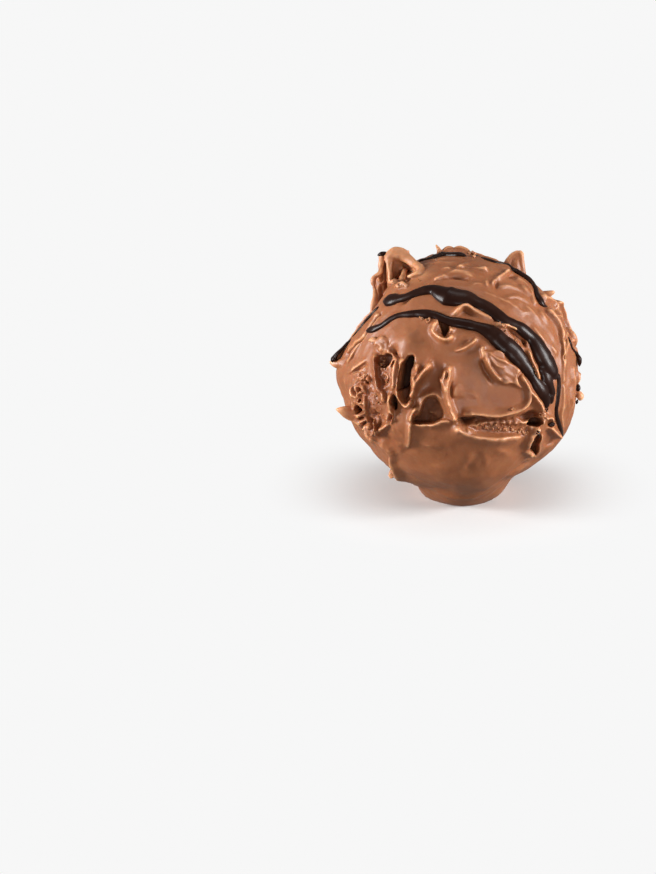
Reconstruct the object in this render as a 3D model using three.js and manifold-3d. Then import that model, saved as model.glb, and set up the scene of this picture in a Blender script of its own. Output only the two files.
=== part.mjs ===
// A hand-dipped chocolate truffle: one solid ball of milk chocolate, rough with the ridges, pits and
// pulled tips that the dipping fork leaves, standing on the small flat foot on which it set.
// Strands of dark chocolate lie over it in rows.
//
// Millimetres, +Z up. The origin is the centre of the flat foot and the front of the truffle faces -Y.
// Marks are placed by how many millimetres right of and above the ball's centre they appear when the
// ball is looked at from one side and a little from above. A turn of 0 is the front, 90 the right side.

import * as THREE from "three";
import { mergeVertices } from "three/addons/utils/BufferGeometryUtils.js";
import Module from "manifold-3d";

const wasm = await Module();
wasm.setup();

// ---- driving dimensions ----
const ballRadius = 13.7;
const centreHeight = 14.7;
const footRadius = 5.0;
const footUneven = 0.35;
const footFillet = THREE.MathUtils.degToRad(12);
const lookDown = THREE.MathUtils.degToRad(20);
const strandGap = 0.35;
const strandStep = 1.2;
const coarseDetail = 8;
const refinePasses = 4;
const facetTolerance = 0.11;
const shortestEdge = 0.45;

const milkChocolate = { color: 0x96603f, roughness: 0.45, metalness: 0 };
const darkChocolate = { color: 0x2a1512, roughness: 0.35, metalness: 0 };

// ---- the marks ----
// A ridge stands up along its path: height in the middle, width on its gentle side and steep on the
// other, which lies to the right of someone walking along the path.
const ridges = [
  // front, around the two deep pits
  { path: [[-1.6, 0.6], [-1.6, -1.6], [-1.5, -3.2], [-0.8, -5.6]], height: 1.4, width: 0.54 },
  { path: [[-0.8, -5.6], [1, -7.3], [3.8, -8.1], [7.4, -7.8]], height: 0.9, width: 0.84 },
  { path: [[1.2, -5], [4.6, -5.1], [7.4, -4.3], [7.9, -2.2], [7, -0.5]], height: 0.8, width: 0.6 },
  { path: [[-5.6, -6.3], [-3.5, -6.4], [-1.2, -5.8]], height: 0.8, width: 0.6 },
  { path: [[-4.9, -3.8], [-5.8, -5.3], [-5.6, -6.6], [-5.95, -8.8]], height: 0.9, width: 0.6 },
  { path: [[-6.9, 1.6], [-7.2, -1.4], [-7, -3.5], [-6.4, -4.3]], height: 1.0, width: 0.6 },
  { path: [[-5, 1.2], [-5.5, -1.2], [-5.4, -3], [-6.3, -4.2]], height: 1.0, width: 0.54 },
  { path: [[-5.3, -1.8], [-4.6, -0.4], [-3.5, 1.1]], height: 1.2, width: 0.48 },
  // front left
  { path: [[-9.9, 2.6], [-9.9, -0.4], [-9, -3.2], [-8.6, -4.4]], height: 0.9, width: 0.6 },
  { path: [[-9, 7.5], [-10.8, 5.2], [-12.3, 2.5], [-13.6, 0.4]], height: 0.8, width: 0.6 },
  { path: [[-11.6, -3.2], [-10.9, -5.4], [-9.9, -8.4]], height: 1.0, width: 0.6 },
  { path: [[-8.4, -4.7], [-8, -6.2], [-9.7, -7.6]], height: 0.7, width: 0.6 },
  { path: [[-9.9, -8.4], [-8.3, -10.2], [-7.5, -12.3], [-6.4, -13]], height: 0.7, width: 0.72 },
  // front right
  { path: [[2.5, 2.2], [3.2, 0.5], [4.3, -1.4]], height: 0.9, width: 0.6 },
  { path: [[2.8, 1.7], [5.2, 0.5], [6.9, -1.9]], height: 0.6, width: 0.72 },
  { path: [[-2.9, 5.6], [-3.1, 4.8], [-2.2, 3.8], [-1, 4.2]], height: 0.6, width: 0.48 },
  { path: [[-0.4, 7], [0.6, 7.7], [1.5, 7.2]], height: 0.7, width: 0.6 },
  { path: [[7.8, -2.3], [8.6, -3.2], [9.8, -4.8]], height: 0.7, width: 0.6 },
  { path: [[8.1, -9.6], [8.4, -8], [9.2, -7]], height: 0.7, width: 0.6 },
  { path: [[9.6, 7.4], [11.3, 6.4], [12.1, 4.3], [12.1, 1.6], [12, -0.6]], height: 1.3, width: 0.72 },
  { path: [[-2.2, 12], [0, 12.1], [3.6, 11.8]], height: 0.5, width: 0.72 },
  { path: [[-3.1, 10.7], [-1, 11.4], [1.4, 11]], height: 0.4, width: 0.72 },
  // right side
  { path: [[-2.5, 6.5], [0, 4.4], [1.2, 1.2], [0.6, -2]], height: 1.0, width: 0.6, turn: 90 },
  { path: [[-1, -3.4], [2.2, -5], [5.6, -4.4]], height: 0.9, width: 0.6, turn: 90 },
  { path: [[3.4, 7.6], [5.4, 4.8], [5.8, 1.8]], height: 0.9, width: 0.6, turn: 90 },
  { path: [[-4.6, -6.2], [-0.4, -8.8], [4.4, -8.4]], height: 0.7, width: 0.72, turn: 90 },
  // back
  { path: [[-6, 5.2], [-3.4, 3.6], [-2.6, 0.4], [-3.6, -3]], height: 1.1, width: 0.6, turn: 180 },
  { path: [[1.4, 3.8], [2.4, 0.6], [1.6, -2.4]], height: 1.2, width: 0.54, turn: 180 },
  { path: [[-2.4, -5], [1.2, -6.4], [5.8, -5.6], [8, -3]], height: 0.9, width: 0.72, turn: 180 },
  { path: [[5, 6], [7, 3.2], [7.4, 0]], height: 0.9, width: 0.6, turn: 180 },
  { path: [[-8, -2.4], [-6.4, -6.6], [-2.4, -9.6]], height: 0.7, width: 0.72, turn: 180 },
  // left side
  { path: [[-5, 4.4], [-2.8, 1.6], [-2.4, -1.8]], height: 1.0, width: 0.6, turn: 270 },
  { path: [[1, 5.6], [1.8, 2.4], [1, -0.8]], height: 1.2, width: 0.54, turn: 270 },
  { path: [[-4.4, -4.6], [-0.6, -6], [3.6, -5]], height: 0.9, width: 0.6, turn: 270 },
];

// A pit is sunk along its path, with a nearly flat floor and steep walls.
const pits = [
  { path: [[-5.8, 1.8], [-6.5, -2.2]], radius: 0.75, depth: 2.0 },
  { path: [[-3.4, -4], [-3.4, -5.3]], radius: 1.1, depth: 2.2 },
  { path: [[0.3, -6], [4, -6.5], [8.6, -5.8]], radius: 0.8, depth: 1.4 },
  { path: [[-8.7, 1.2], [-8.6, -0.4]], radius: 0.8, depth: 1.4 },
  { path: [[-2.1, 5.3], [-2, 4.6]], radius: 0.55, depth: 1.2 },
  { path: [[9.3, -7.8], [8.8, -9.4]], radius: 0.45, depth: 1.1 },
  { path: [[-11.7, -4.4], [-11.6, -5.6]], radius: 0.5, depth: 1.3 },
  { path: [[10.2, 6.7], [11.5, 4.6], [11.6, 1.8]], radius: 0.5, depth: 0.8 },
  { path: [[-0.8, 2.6], [-0.4, 0]], radius: 0.7, depth: 1.7, turn: 90 },
  { path: [[2.6, -6.6], [4.4, -6.3]], radius: 0.7, depth: 1.4, turn: 90 },
  { path: [[-0.4, 2.6], [0, -1]], radius: 0.75, depth: 1.9, turn: 180 },
  { path: [[0.6, -4.8], [4, -4.4]], radius: 0.7, depth: 1.4, turn: 180 },
  { path: [[-0.8, 3.2], [-0.8, 0.4]], radius: 0.7, depth: 1.7, turn: 270 },
  { path: [[-1.6, -4.4], [1, -4.6]], radius: 0.7, depth: 1.3, turn: 270 },
];

// A tip is pulled out of the coat to a point.
const tips = [
  { at: [-14.6, 1.1], height: 1.4, width: 0.9 },
  { at: [-13.6, 2.5], height: 0.7, width: 1.0 },
  { at: [-14, -4.4], height: 1.3, width: 0.8 },
  { at: [-7.2, 12.4], height: 2.6, width: 0.95 },
  { at: [-8.7, 11.4], height: 1.1, width: 0.9 },
  { at: [-4.6, 12.6], height: 0.8, width: 0.7 },
  { at: [6.9, 12.6], height: 2.2, width: 0.75 },
  { at: [12.4, 7.2], height: 0.5, width: 1.0 },
  { at: [-8.9, 3], height: 0.9, width: 0.8 },
  { at: [-1.2, 13.9], height: 0.7, width: 0.9 },
  { at: [6.8, 2.4], height: 1.2, width: 0.7, turn: 180 },
  { at: [-7.4, 7.4], height: 1.4, width: 0.8, turn: 180 },
  { at: [4.2, 8.4], height: 1.1, width: 0.8, turn: 270 },
];

// A swell raises, or where negative sinks, a broad soft part of the ball.
const swells = [
  { at: [-9.8, 8.4], height: -0.9, width: 3.2 },
  { at: [3.5, -2.2], height: -0.5, width: 3.0 },
  { at: [-6.3, 3.3], height: 0.5, width: 1.4 },
  { at: [-1, -10.6], height: 0.25, width: 4.0 },
  { at: [12, -2], height: 0.35, width: 3.0 },
  { at: [4, 4], height: -0.5, width: 3.4, turn: 90 },
  { at: [-6, -1], height: -0.6, width: 3.2, turn: 180 },
  { at: [5, -1], height: -0.5, width: 3.2, turn: 180 },
  { at: [-5, -2], height: -0.5, width: 3.2, turn: 270 },
];

// A strand of drizzle: [right, up, half width] along its path. Strands of one node run together.
const drizzle = {
  drizzle_front: [
    {
      path: [[-8.1, 8.1, 0.7], [-6.4, 8.6, 0.4], [-3.6, 9.4, 0.6], [-0.5, 8.8, 0.85], [3, 7.5, 0.8],
        [6.2, 5.6, 0.7], [9, 2.8, 0.85], [10.8, 0, 0.9], [11.1, -1.4, 0.6]],
    },
    {
      path: [[-10.2, 4.8, 0.45], [-8.3, 5.8, 0.35], [-5.4, 6.5, 0.5], [-1.5, 5.9, 0.6], [2.5, 5, 0.65],
        [5, 3.7, 0.9], [7, 1.2, 0.9], [8.4, -1, 0.7], [9.9, -3.4, 0.8], [10.2, -4.3, 0.4]],
    },
    { path: [[11, -0.8, 0.5], [11.2, -3.4, 0.35], [11.4, -5.6, 0.3], [12.1, -7.8, 0.25]] },
    { path: [[8.9, 2.8, 0.5], [9.8, -0.2, 0.4], [10, -1.8, 0.4], [8.9, -3.4, 0.6]] },
  ],
  drizzle_left: [{ path: [[-9.6, 6.9, 0.35], [-10.9, 5.8, 0.4], [-12.4, 4.1, 0.35], [-14.5, 1.9, 0.5]] }],
  drizzle_crown: [
    {
      path: [[-5.4, 12.3, 0.45], [-3, 13, 0.6], [0, 13.2, 0.6], [3, 12.9, 0.6], [5.6, 12.2, 0.6],
        [7.6, 10.8, 0.6], [9.4, 8.6, 0.6], [10.4, 7.9, 0.4]],
    },
  ],
  drizzle_back_upper: [
    {
      turn: 180,
      path: [[-10.6, 4.6, 0.4], [-7.6, 6.4, 0.6], [-4, 7.6, 0.7], [0, 7.4, 0.7], [4, 6.8, 0.6],
        [8, 5.2, 0.6], [10.8, 2.6, 0.5], [12.4, -0.6, 0.3]],
    },
  ],
  drizzle_back_lower: [
    {
      turn: 180,
      path: [[-11.6, -0.4, 0.35], [-9, 1.9, 0.5], [-5, 3, 0.6], [-0.6, 3.2, 0.65], [4, 2.6, 0.7],
        [8.4, 0.8, 0.6], [10.8, -2.4, 0.5], [11.4, -4.4, 0.35]],
    },
  ],
};
const strandRise = 0.85; // of its half width

// ---- placing ----
const centre = new THREE.Vector3(0, 0, centreHeight);
const up = new THREE.Vector3(0, 0, 1);

// The direction from the ball's centre to what appears at (right, above) from the side at this turn.
function towards([right, above], turn = 0) {
  const flat = Math.hypot(right, above);
  const depth = Math.sqrt(Math.max(ballRadius ** 2 - flat ** 2, 0));
  return new THREE.Vector3(
    right,
    above * Math.sin(lookDown) - depth * Math.cos(lookDown),
    above * Math.cos(lookDown) + depth * Math.sin(lookDown),
  )
    .normalize()
    .applyAxisAngle(up, THREE.MathUtils.degToRad(turn));
}

// A smooth path of points on a sphere of the ball's radius.
function pathOnBall(points, turn, step) {
  const through = points.map((p) => towards(p, turn).multiplyScalar(ballRadius));
  if (through.length === 1) return through;
  const curve = new THREE.CatmullRomCurve3(through, false, "centripetal");
  const count = Math.max(2, Math.ceil(curve.getLength() / step));
  return curve.getSpacedPoints(count).map((p) => p.setLength(ballRadius));
}

// How far a point of the sphere is from a path, how far along it that is, and on which side.
function nearestOn(path, point) {
  const best = { distance: Infinity, along: 0, rightHand: false };
  const offset = new THREE.Vector3();
  const run = new THREE.Vector3();
  for (let i = 0; i + 1 < path.length; i++) {
    run.subVectors(path[i + 1], path[i]);
    offset.subVectors(point, path[i]);
    const t = THREE.MathUtils.clamp(offset.dot(run) / run.lengthSq(), 0, 1);
    offset.addScaledVector(run, -t);
    const distance = offset.length();
    if (distance < best.distance) {
      best.distance = distance;
      best.along = (i + t) / (path.length - 1);
      best.rightHand = offset.dot(run.clone().cross(point)) > 0;
    }
  }
  return best;
}

// ---- the coat's surface, as a distance from the ball's centre in each direction ----
const bell = (x) => Math.exp(-x * x);
const reach = 4; // times its width, past which a mark changes nothing

const ridgePaths = ridges.map((mark) => ({ ...mark, line: pathOnBall(mark.path, mark.turn, 1.2) }));
const pitPaths = pits.map((mark) => ({ ...mark, line: pathOnBall(mark.path, mark.turn, 1.2) }));
const tipPlaces = tips.map((mark) => ({ ...mark, spot: towards(mark.at, mark.turn) }));
const swellPlaces = swells.map((mark) => ({ ...mark, spot: towards(mark.at, mark.turn) }));

// Marks of one kind that meet run together and don't add up.
const together = (heights) => Math.cbrt(heights.reduce((sum, h) => sum + h ** 3, 0));

function near(mark, point, width) {
  const wide = reach * width;
  return mark.line.some((p) => p.distanceToSquared(point) < (wide + 1.2) ** 2);
}

function ridgeHeight(mark, point) {
  if (!near(mark, point, mark.width)) return 0;
  const { distance, along, rightHand } = nearestOn(mark.line, point);
  const fade = Math.min(1, 0.45 + 4 * Math.min(along, 1 - along));
  const width = rightHand ? mark.width * 0.7 : mark.width;
  return mark.height * fade * bell(distance / width);
}

function pitDepth(mark, point) {
  if (!near(mark, point, mark.radius)) return 0;
  const { distance } = nearestOn(mark.line, point);
  return mark.depth * (1 - THREE.MathUtils.smoothstep(distance, 0.5 * mark.radius, 1.2 * mark.radius));
}

function coatRadius(direction) {
  const point = direction.clone().multiplyScalar(ballRadius);
  const raised = together(ridgePaths.map((mark) => ridgeHeight(mark, point)));
  const sunk = together(pitPaths.map((mark) => pitDepth(mark, point)));
  const arc = (spot) => ballRadius * direction.angleTo(spot);
  const pulled = together(tipPlaces.map((mark) => mark.height * bell(arc(mark.spot) / mark.width)));
  const swollen = swellPlaces.reduce((sum, m) => sum + m.height * bell(arc(m.spot) / m.width), 0);
  const ball = ballRadius + swollen + together([raised, pulled]) - sunk;

  // The foot: chocolate that spread under the ball before it set, flat where it met the table.
  const fromBottom = direction.angleTo(up.clone().negate());
  const heading = Math.atan2(direction.y, direction.x);
  const wobble = Math.sin(2 * heading + 1) + 0.6 * Math.sin(3 * heading + 2.5);
  const edgeAngle = Math.atan2(footRadius + footUneven * wobble, centreHeight);
  const footEdge = centreHeight / Math.cos(edgeAngle);
  const spread = 1 - THREE.MathUtils.smoothstep(fromBottom, edgeAngle, edgeAngle + footFillet);
  const foot = (footEdge - ballRadius) * spread;
  const toTable = direction.z < 0 ? centreHeight / -direction.z : Infinity;
  return Math.min(ball + foot, toTable);
}

const surfacePoint = (direction) => direction.clone().multiplyScalar(coatRadius(direction));

// ---- the coat: a ball of triangles, split further wherever the surface leaves them ----
function refine(directions, triangles) {
  const points = directions.map(surfacePoint);
  const middles = new Map();
  const middleOf = (a, b) => {
    const key = a < b ? `${a} ${b}` : `${b} ${a}`;
    if (!middles.has(key)) {
      const chord = new THREE.Line3(points[a], points[b]);
      const between = (t) => directions[a].clone().lerp(directions[b], t).normalize();
      const bulge = (t) => {
        const point = surfacePoint(between(t));
        return chord.closestPointToPoint(point, true, new THREE.Vector3()).distanceTo(point);
      };
      const isLong = chord.distance() > 2 * shortestEdge;
      const isCut = isLong && Math.max(...[0.25, 0.5, 0.75].map(bulge)) > facetTolerance;
      middles.set(key, isCut ? directions.push(between(0.5)) - 1 : -1);
    }
    return middles.get(key);
  };
  return triangles.flatMap(([a, b, c]) => {
    const [ab, bc, ca] = [middleOf(a, b), middleOf(b, c), middleOf(c, a)];
    const cuts = [ab, bc, ca].filter((m) => m >= 0).length;
    if (cuts === 0) return [[a, b, c]];
    if (cuts === 3) return [[a, ab, ca], [ab, b, bc], [ca, bc, c], [ab, bc, ca]];
    // turn the triangle so that its first edge is cut and, of two cut edges, the last one isn't
    const turned = [[a, b, c, ab, bc, ca], [b, c, a, bc, ca, ab], [c, a, b, ca, ab, bc]];
    const [p, q, r, pq, qr] = turned.find((t) => t[3] >= 0 && t[5] < 0);
    if (cuts === 1) return [[p, pq, r], [pq, q, r]];
    return [[p, pq, r], [pq, q, qr], [pq, qr, r]];
  });
}

function coatGeometry() {
  const sphere = new THREE.IcosahedronGeometry(1, coarseDetail);
  sphere.deleteAttribute("normal");
  sphere.deleteAttribute("uv");
  const merged = mergeVertices(sphere, 1e-4);
  const place = merged.getAttribute("position");
  const directions = [];
  for (let i = 0; i < place.count; i++) {
    directions.push(new THREE.Vector3().fromBufferAttribute(place, i).normalize());
  }
  let triangles = [];
  for (let i = 0; i < merged.index.count; i += 3) {
    triangles.push([0, 1, 2].map((k) => merged.index.getX(i + k)));
  }
  for (let pass = 0; pass < refinePasses; pass++) triangles = refine(directions, triangles);
  return geometryFrom(directions.map((d) => surfacePoint(d).add(centre)), triangles);
}

function geometryFrom(points, triangles) {
  const geometry = new THREE.BufferGeometry().setFromPoints(points);
  geometry.setIndex(triangles.flat());
  geometry.computeVertexNormals();
  return geometry;
}

// ---- the drizzle: half-round strands that follow the coat just above it ----
function strandGeometry({ path, turn = 0 }) {
  const line = pathOnBall(path.map(([right, above]) => [right, above]), turn, strandStep);
  const last = line.length - 1;
  const halfWidth = (i) => {
    const x = (i / last) * (path.length - 1);
    const k = Math.min(Math.floor(x), path.length - 2);
    const taper = Math.sqrt(Math.min(1, (Math.min(i, last - i) + 0.35) / 1.35));
    return taper * THREE.MathUtils.lerp(path[k][2], path[k + 1][2], x - k);
  };
  const run = (i) => line[Math.min(i + 1, last)].clone().sub(line[Math.max(i - 1, 0)]).normalize();
  const aside = (i, x) => {
    const side = line[i].clone().normalize().cross(run(i)).normalize();
    return line[i].clone().addScaledVector(side, x).normalize();
  };
  // the highest coat under the strand here, so that it bridges the pits and rides over the ridges
  const under = (i) => {
    const samples = [-1, -0.5, 0, 0.5, 1].map((x) => coatRadius(aside(i, 1.2 * x * halfWidth(i))));
    return Math.max(...samples);
  };
  const around = (list, i) => list.slice(Math.max(i - 2, 0), i + 3);
  const ceiling = line.map((_, i) => under(i)).map((_, i, list) => Math.max(...around(list, i)));
  const mean = (list) => list.reduce((sum, x) => sum + x) / list.length;
  const lifted = ceiling.map((_, i) => mean(around(ceiling, i)) + strandGap);
  const section = [[-1, 0], [-0.85, 0.55], [-0.4, 0.95], [0.4, 0.95], [0.85, 0.55], [1, 0], [0, 0]];
  const points = line.flatMap((_, i) =>
    section.map(([x, y]) =>
      aside(i, x * halfWidth(i))
        .multiplyScalar(lifted[i] + y * strandRise * halfWidth(i))
        .add(centre),
    ),
  );
  const sides = section.length;
  const triangles = [];
  for (let i = 0; i < last; i++) {
    for (let k = 0; k < sides; k++) {
      const [a, b] = [i * sides + k, i * sides + ((k + 1) % sides)];
      triangles.push([a, a + sides, b], [b, a + sides, b + sides]);
    }
  }
  for (let k = 1; k + 1 < sides; k++) {
    const end = last * sides;
    triangles.push([0, k, k + 1], [end, end + k + 1, end + k]);
  }
  return geometryFrom(points, triangles);
}

function solidFrom(geometry) {
  const bare = new THREE.BufferGeometry().setAttribute("position", geometry.getAttribute("position"));
  bare.setIndex(geometry.getIndex());
  const merged = mergeVertices(bare, 1e-4);
  return new wasm.Manifold(
    new wasm.Mesh({
      numProp: 3,
      vertProperties: new Float32Array(merged.getAttribute("position").array),
      triVerts: new Uint32Array(merged.index.array),
    }),
  );
}

function geometryOf(solid) {
  const mesh = solid.getMesh();
  const geometry = new THREE.BufferGeometry();
  geometry.setAttribute("position", new THREE.BufferAttribute(mesh.vertProperties, mesh.numProp));
  geometry.setIndex(new THREE.BufferAttribute(mesh.triVerts, 1));
  geometry.computeVertexNormals();
  return geometry;
}

function drizzleGeometry(strands) {
  const solids = strands.map((strand) => solidFrom(strandGeometry(strand)));
  return geometryOf(solids.reduce((joined, solid) => joined.add(solid)));
}

// ---- the truffle ----
function namedMesh(name, geometry, looks) {
  const mesh = new THREE.Mesh(geometry, new THREE.MeshStandardMaterial(looks));
  mesh.name = name;
  return mesh;
}

const truffle = new THREE.Group();
truffle.add(namedMesh("coated_ball", coatGeometry(), milkChocolate));
for (const [name, strands] of Object.entries(drizzle)) {
  truffle.add(namedMesh(name, drizzleGeometry(strands), darkChocolate));
}

export default truffle;
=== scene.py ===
import math

import bmesh
import bpy
import numpy as np
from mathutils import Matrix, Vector
from mathutils.bvhtree import BVHTree


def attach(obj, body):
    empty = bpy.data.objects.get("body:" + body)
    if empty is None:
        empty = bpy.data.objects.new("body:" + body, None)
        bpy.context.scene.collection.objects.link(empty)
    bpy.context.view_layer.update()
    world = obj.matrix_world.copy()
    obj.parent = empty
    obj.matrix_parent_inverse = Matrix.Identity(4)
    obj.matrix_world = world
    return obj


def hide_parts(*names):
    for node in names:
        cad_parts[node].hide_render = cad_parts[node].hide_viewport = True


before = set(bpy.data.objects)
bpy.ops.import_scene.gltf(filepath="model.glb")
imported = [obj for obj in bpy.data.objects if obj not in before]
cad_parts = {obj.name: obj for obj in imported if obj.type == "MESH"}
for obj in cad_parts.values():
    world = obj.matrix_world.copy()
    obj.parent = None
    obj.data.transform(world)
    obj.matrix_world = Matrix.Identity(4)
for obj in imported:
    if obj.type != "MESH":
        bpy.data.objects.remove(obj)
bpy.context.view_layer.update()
print("frame loaded")

mm = 0.001  # everything is worked out in millimetres and made metres at the end

ball = dict(
    radius=13.8,
    height=14.7,  # of its centre above the table
    lookDown=20,  # marks are placed as seen from this many degrees above
    flatBelow=0.12,  # all that hangs lower is flat on the table
    strayMarks=210,  # small ridges all over the sides and the back
    fineness=9,  # icosphere subdivisions
    voxel=0.09,
    smoothing=2,  # rounds of smoothing after the remesh
    crests=(8, 70),  # rounds of smoothing that fine edges and broad ridges are measured against
    triangles=192000,
    seed=7,
)
centre = np.array([0, 0, ball["height"]])
farOut = 30  # further from the centre than anything on the ball


def sideAxes(turn):  # right, above and towards the viewer, as seen from a side
    down = math.radians(ball["lookDown"])
    axes = np.array([
        [1, 0, 0],
        [0, math.sin(down), math.cos(down)],
        [0, -math.cos(down), math.sin(down)],
    ])
    c, s = math.cos(math.radians(turn)), math.sin(math.radians(turn))
    return axes @ np.array([[c, s, 0], [-s, c, 0], [0, 0, 1]])


def unit(vectors):
    return vectors / np.linalg.norm(vectors, axis=-1, keepdims=True)


# Marks are (right, above) in millimetres, as seen from that side. level tells how far from the centre
# the thing at a spot lies, so that it shows there although it stands out of, or lies in, the ball.
def onBall(marks, turn=0, level=None):
    flat = np.array([mark[:2] for mark in marks], float)
    reach = np.full(len(flat), ball["radius"])
    for _ in range(1 if level is None else 6):
        depth = np.sqrt(np.clip(reach**2 - (flat**2).sum(1), 0, None))
        spots = unit(np.column_stack([flat, depth]) @ sideAxes(turn)) * ball["radius"]
        reach = reach if level is None else level(spots)
    return spots


def smoothLine(points, step, samples=16):  # Catmull-Rom through the points, evenly spaced
    p = np.vstack([2 * points[0] - points[1], points, 2 * points[-1] - points[-2]])
    t = np.linspace(0, 1, samples, endpoint=False)[:, None]
    dense = [
        0.5 * (2 * b + (c - a) * t + (2 * a - 5 * b + 4 * c - d) * t**2 + (3 * b - a - 3 * c + d) * t**3)
        for a, b, c, d in zip(p[:-3], p[1:-2], p[2:-1], p[3:])
    ]
    dense = np.vstack(dense + [points[-1:]])
    run = np.concatenate([[0], np.cumsum(np.linalg.norm(np.diff(dense[:, :3], axis=0), axis=1))])
    even = np.linspace(0, run[-1], max(3, int(run[-1] / step) + 1))
    return np.column_stack([np.interp(even, run, column) for column in dense.T])


def noise(spots, size, seed=0):  # smooth value noise from -1 to 1
    cell = spots / size + 31.7 * seed
    low = np.floor(cell).astype(np.int64)
    part = cell - low
    part = part * part * (3 - 2 * part)
    total = np.zeros(len(spots))
    for corner in range(8):
        step = np.array([corner & 1, corner >> 1 & 1, corner >> 2 & 1])
        x, y, z = (low + step).T
        h = x * 73856093 ^ y * 19349663 ^ z * 83492791 ^ (seed + 1) * 2654435761  # a hash of the corner
        h = (h ^ (h >> 13)) * 1274126177 & 0xFFFFFFFF
        value = ((h ^ (h >> 16)) & 0xFFFF) / 32767.5 - 1
        total += value * np.where(step, part, 1 - part).prod(axis=1)
    return total


def layered(spots, layers, start=0):  # noise on noise: how much, at what size, with what seed
    total = np.full(len(spots), float(start))
    for much, size, seed in layers:
        total += much * noise(spots, size, seed)
    return total


def smoothStep(x, low, high):
    t = np.clip((x - low) / (high - low), 0, 1)
    return t * t * (3 - 2 * t)


def nearestOn(line, spots):  # signed distance (positive on the left), place along, leftward direction
    best = np.full(len(spots), np.inf)
    piece = np.zeros(len(spots), int)
    part = np.zeros(len(spots))
    for i in range(len(line) - 1):
        run = line[i + 1] - line[i]
        t = np.clip((spots - line[i]) @ run / (run @ run), 0, 1)
        d = ((spots - line[i] - t[:, None] * run) ** 2).sum(1)
        closer = d < best
        best[closer], piece[closer], part[closer] = d[closer], i, t[closer]
    run = np.diff(line, axis=0)[piece]
    left = unit(np.cross(spots, run))
    offset = spots - line[piece] - part[:, None] * run
    side = np.where((offset * left).sum(1) >= 0, 1, -1)
    return side * np.sqrt(best), piece + part, left


def markKind(*names, **usual):  # a function that makes a mark from these values, in this order
    def make(*values, **other):
        return {**usual, **dict(zip(names, values)), **other}

    return make


ridge = markKind("path", "height", "left", "right", turn=0, lean=0, skirt=None, towards=0.6)
pit = markKind("outline", "depth", turn=0, soft=0.18, tilt=(0, 0))
groove = markKind("path", "radius", "depth", turn=0, rim=0.35)
swell = markKind("at", "height", "width", turn=0)
patch = markKind("path", "width", "depth", "size", turn=0)
pull = markKind("path", turn=0, rough=1)
strand = markKind("path", turn=0)
strew = markKind("path", "count", "aside", "size", turn=0)

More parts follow.
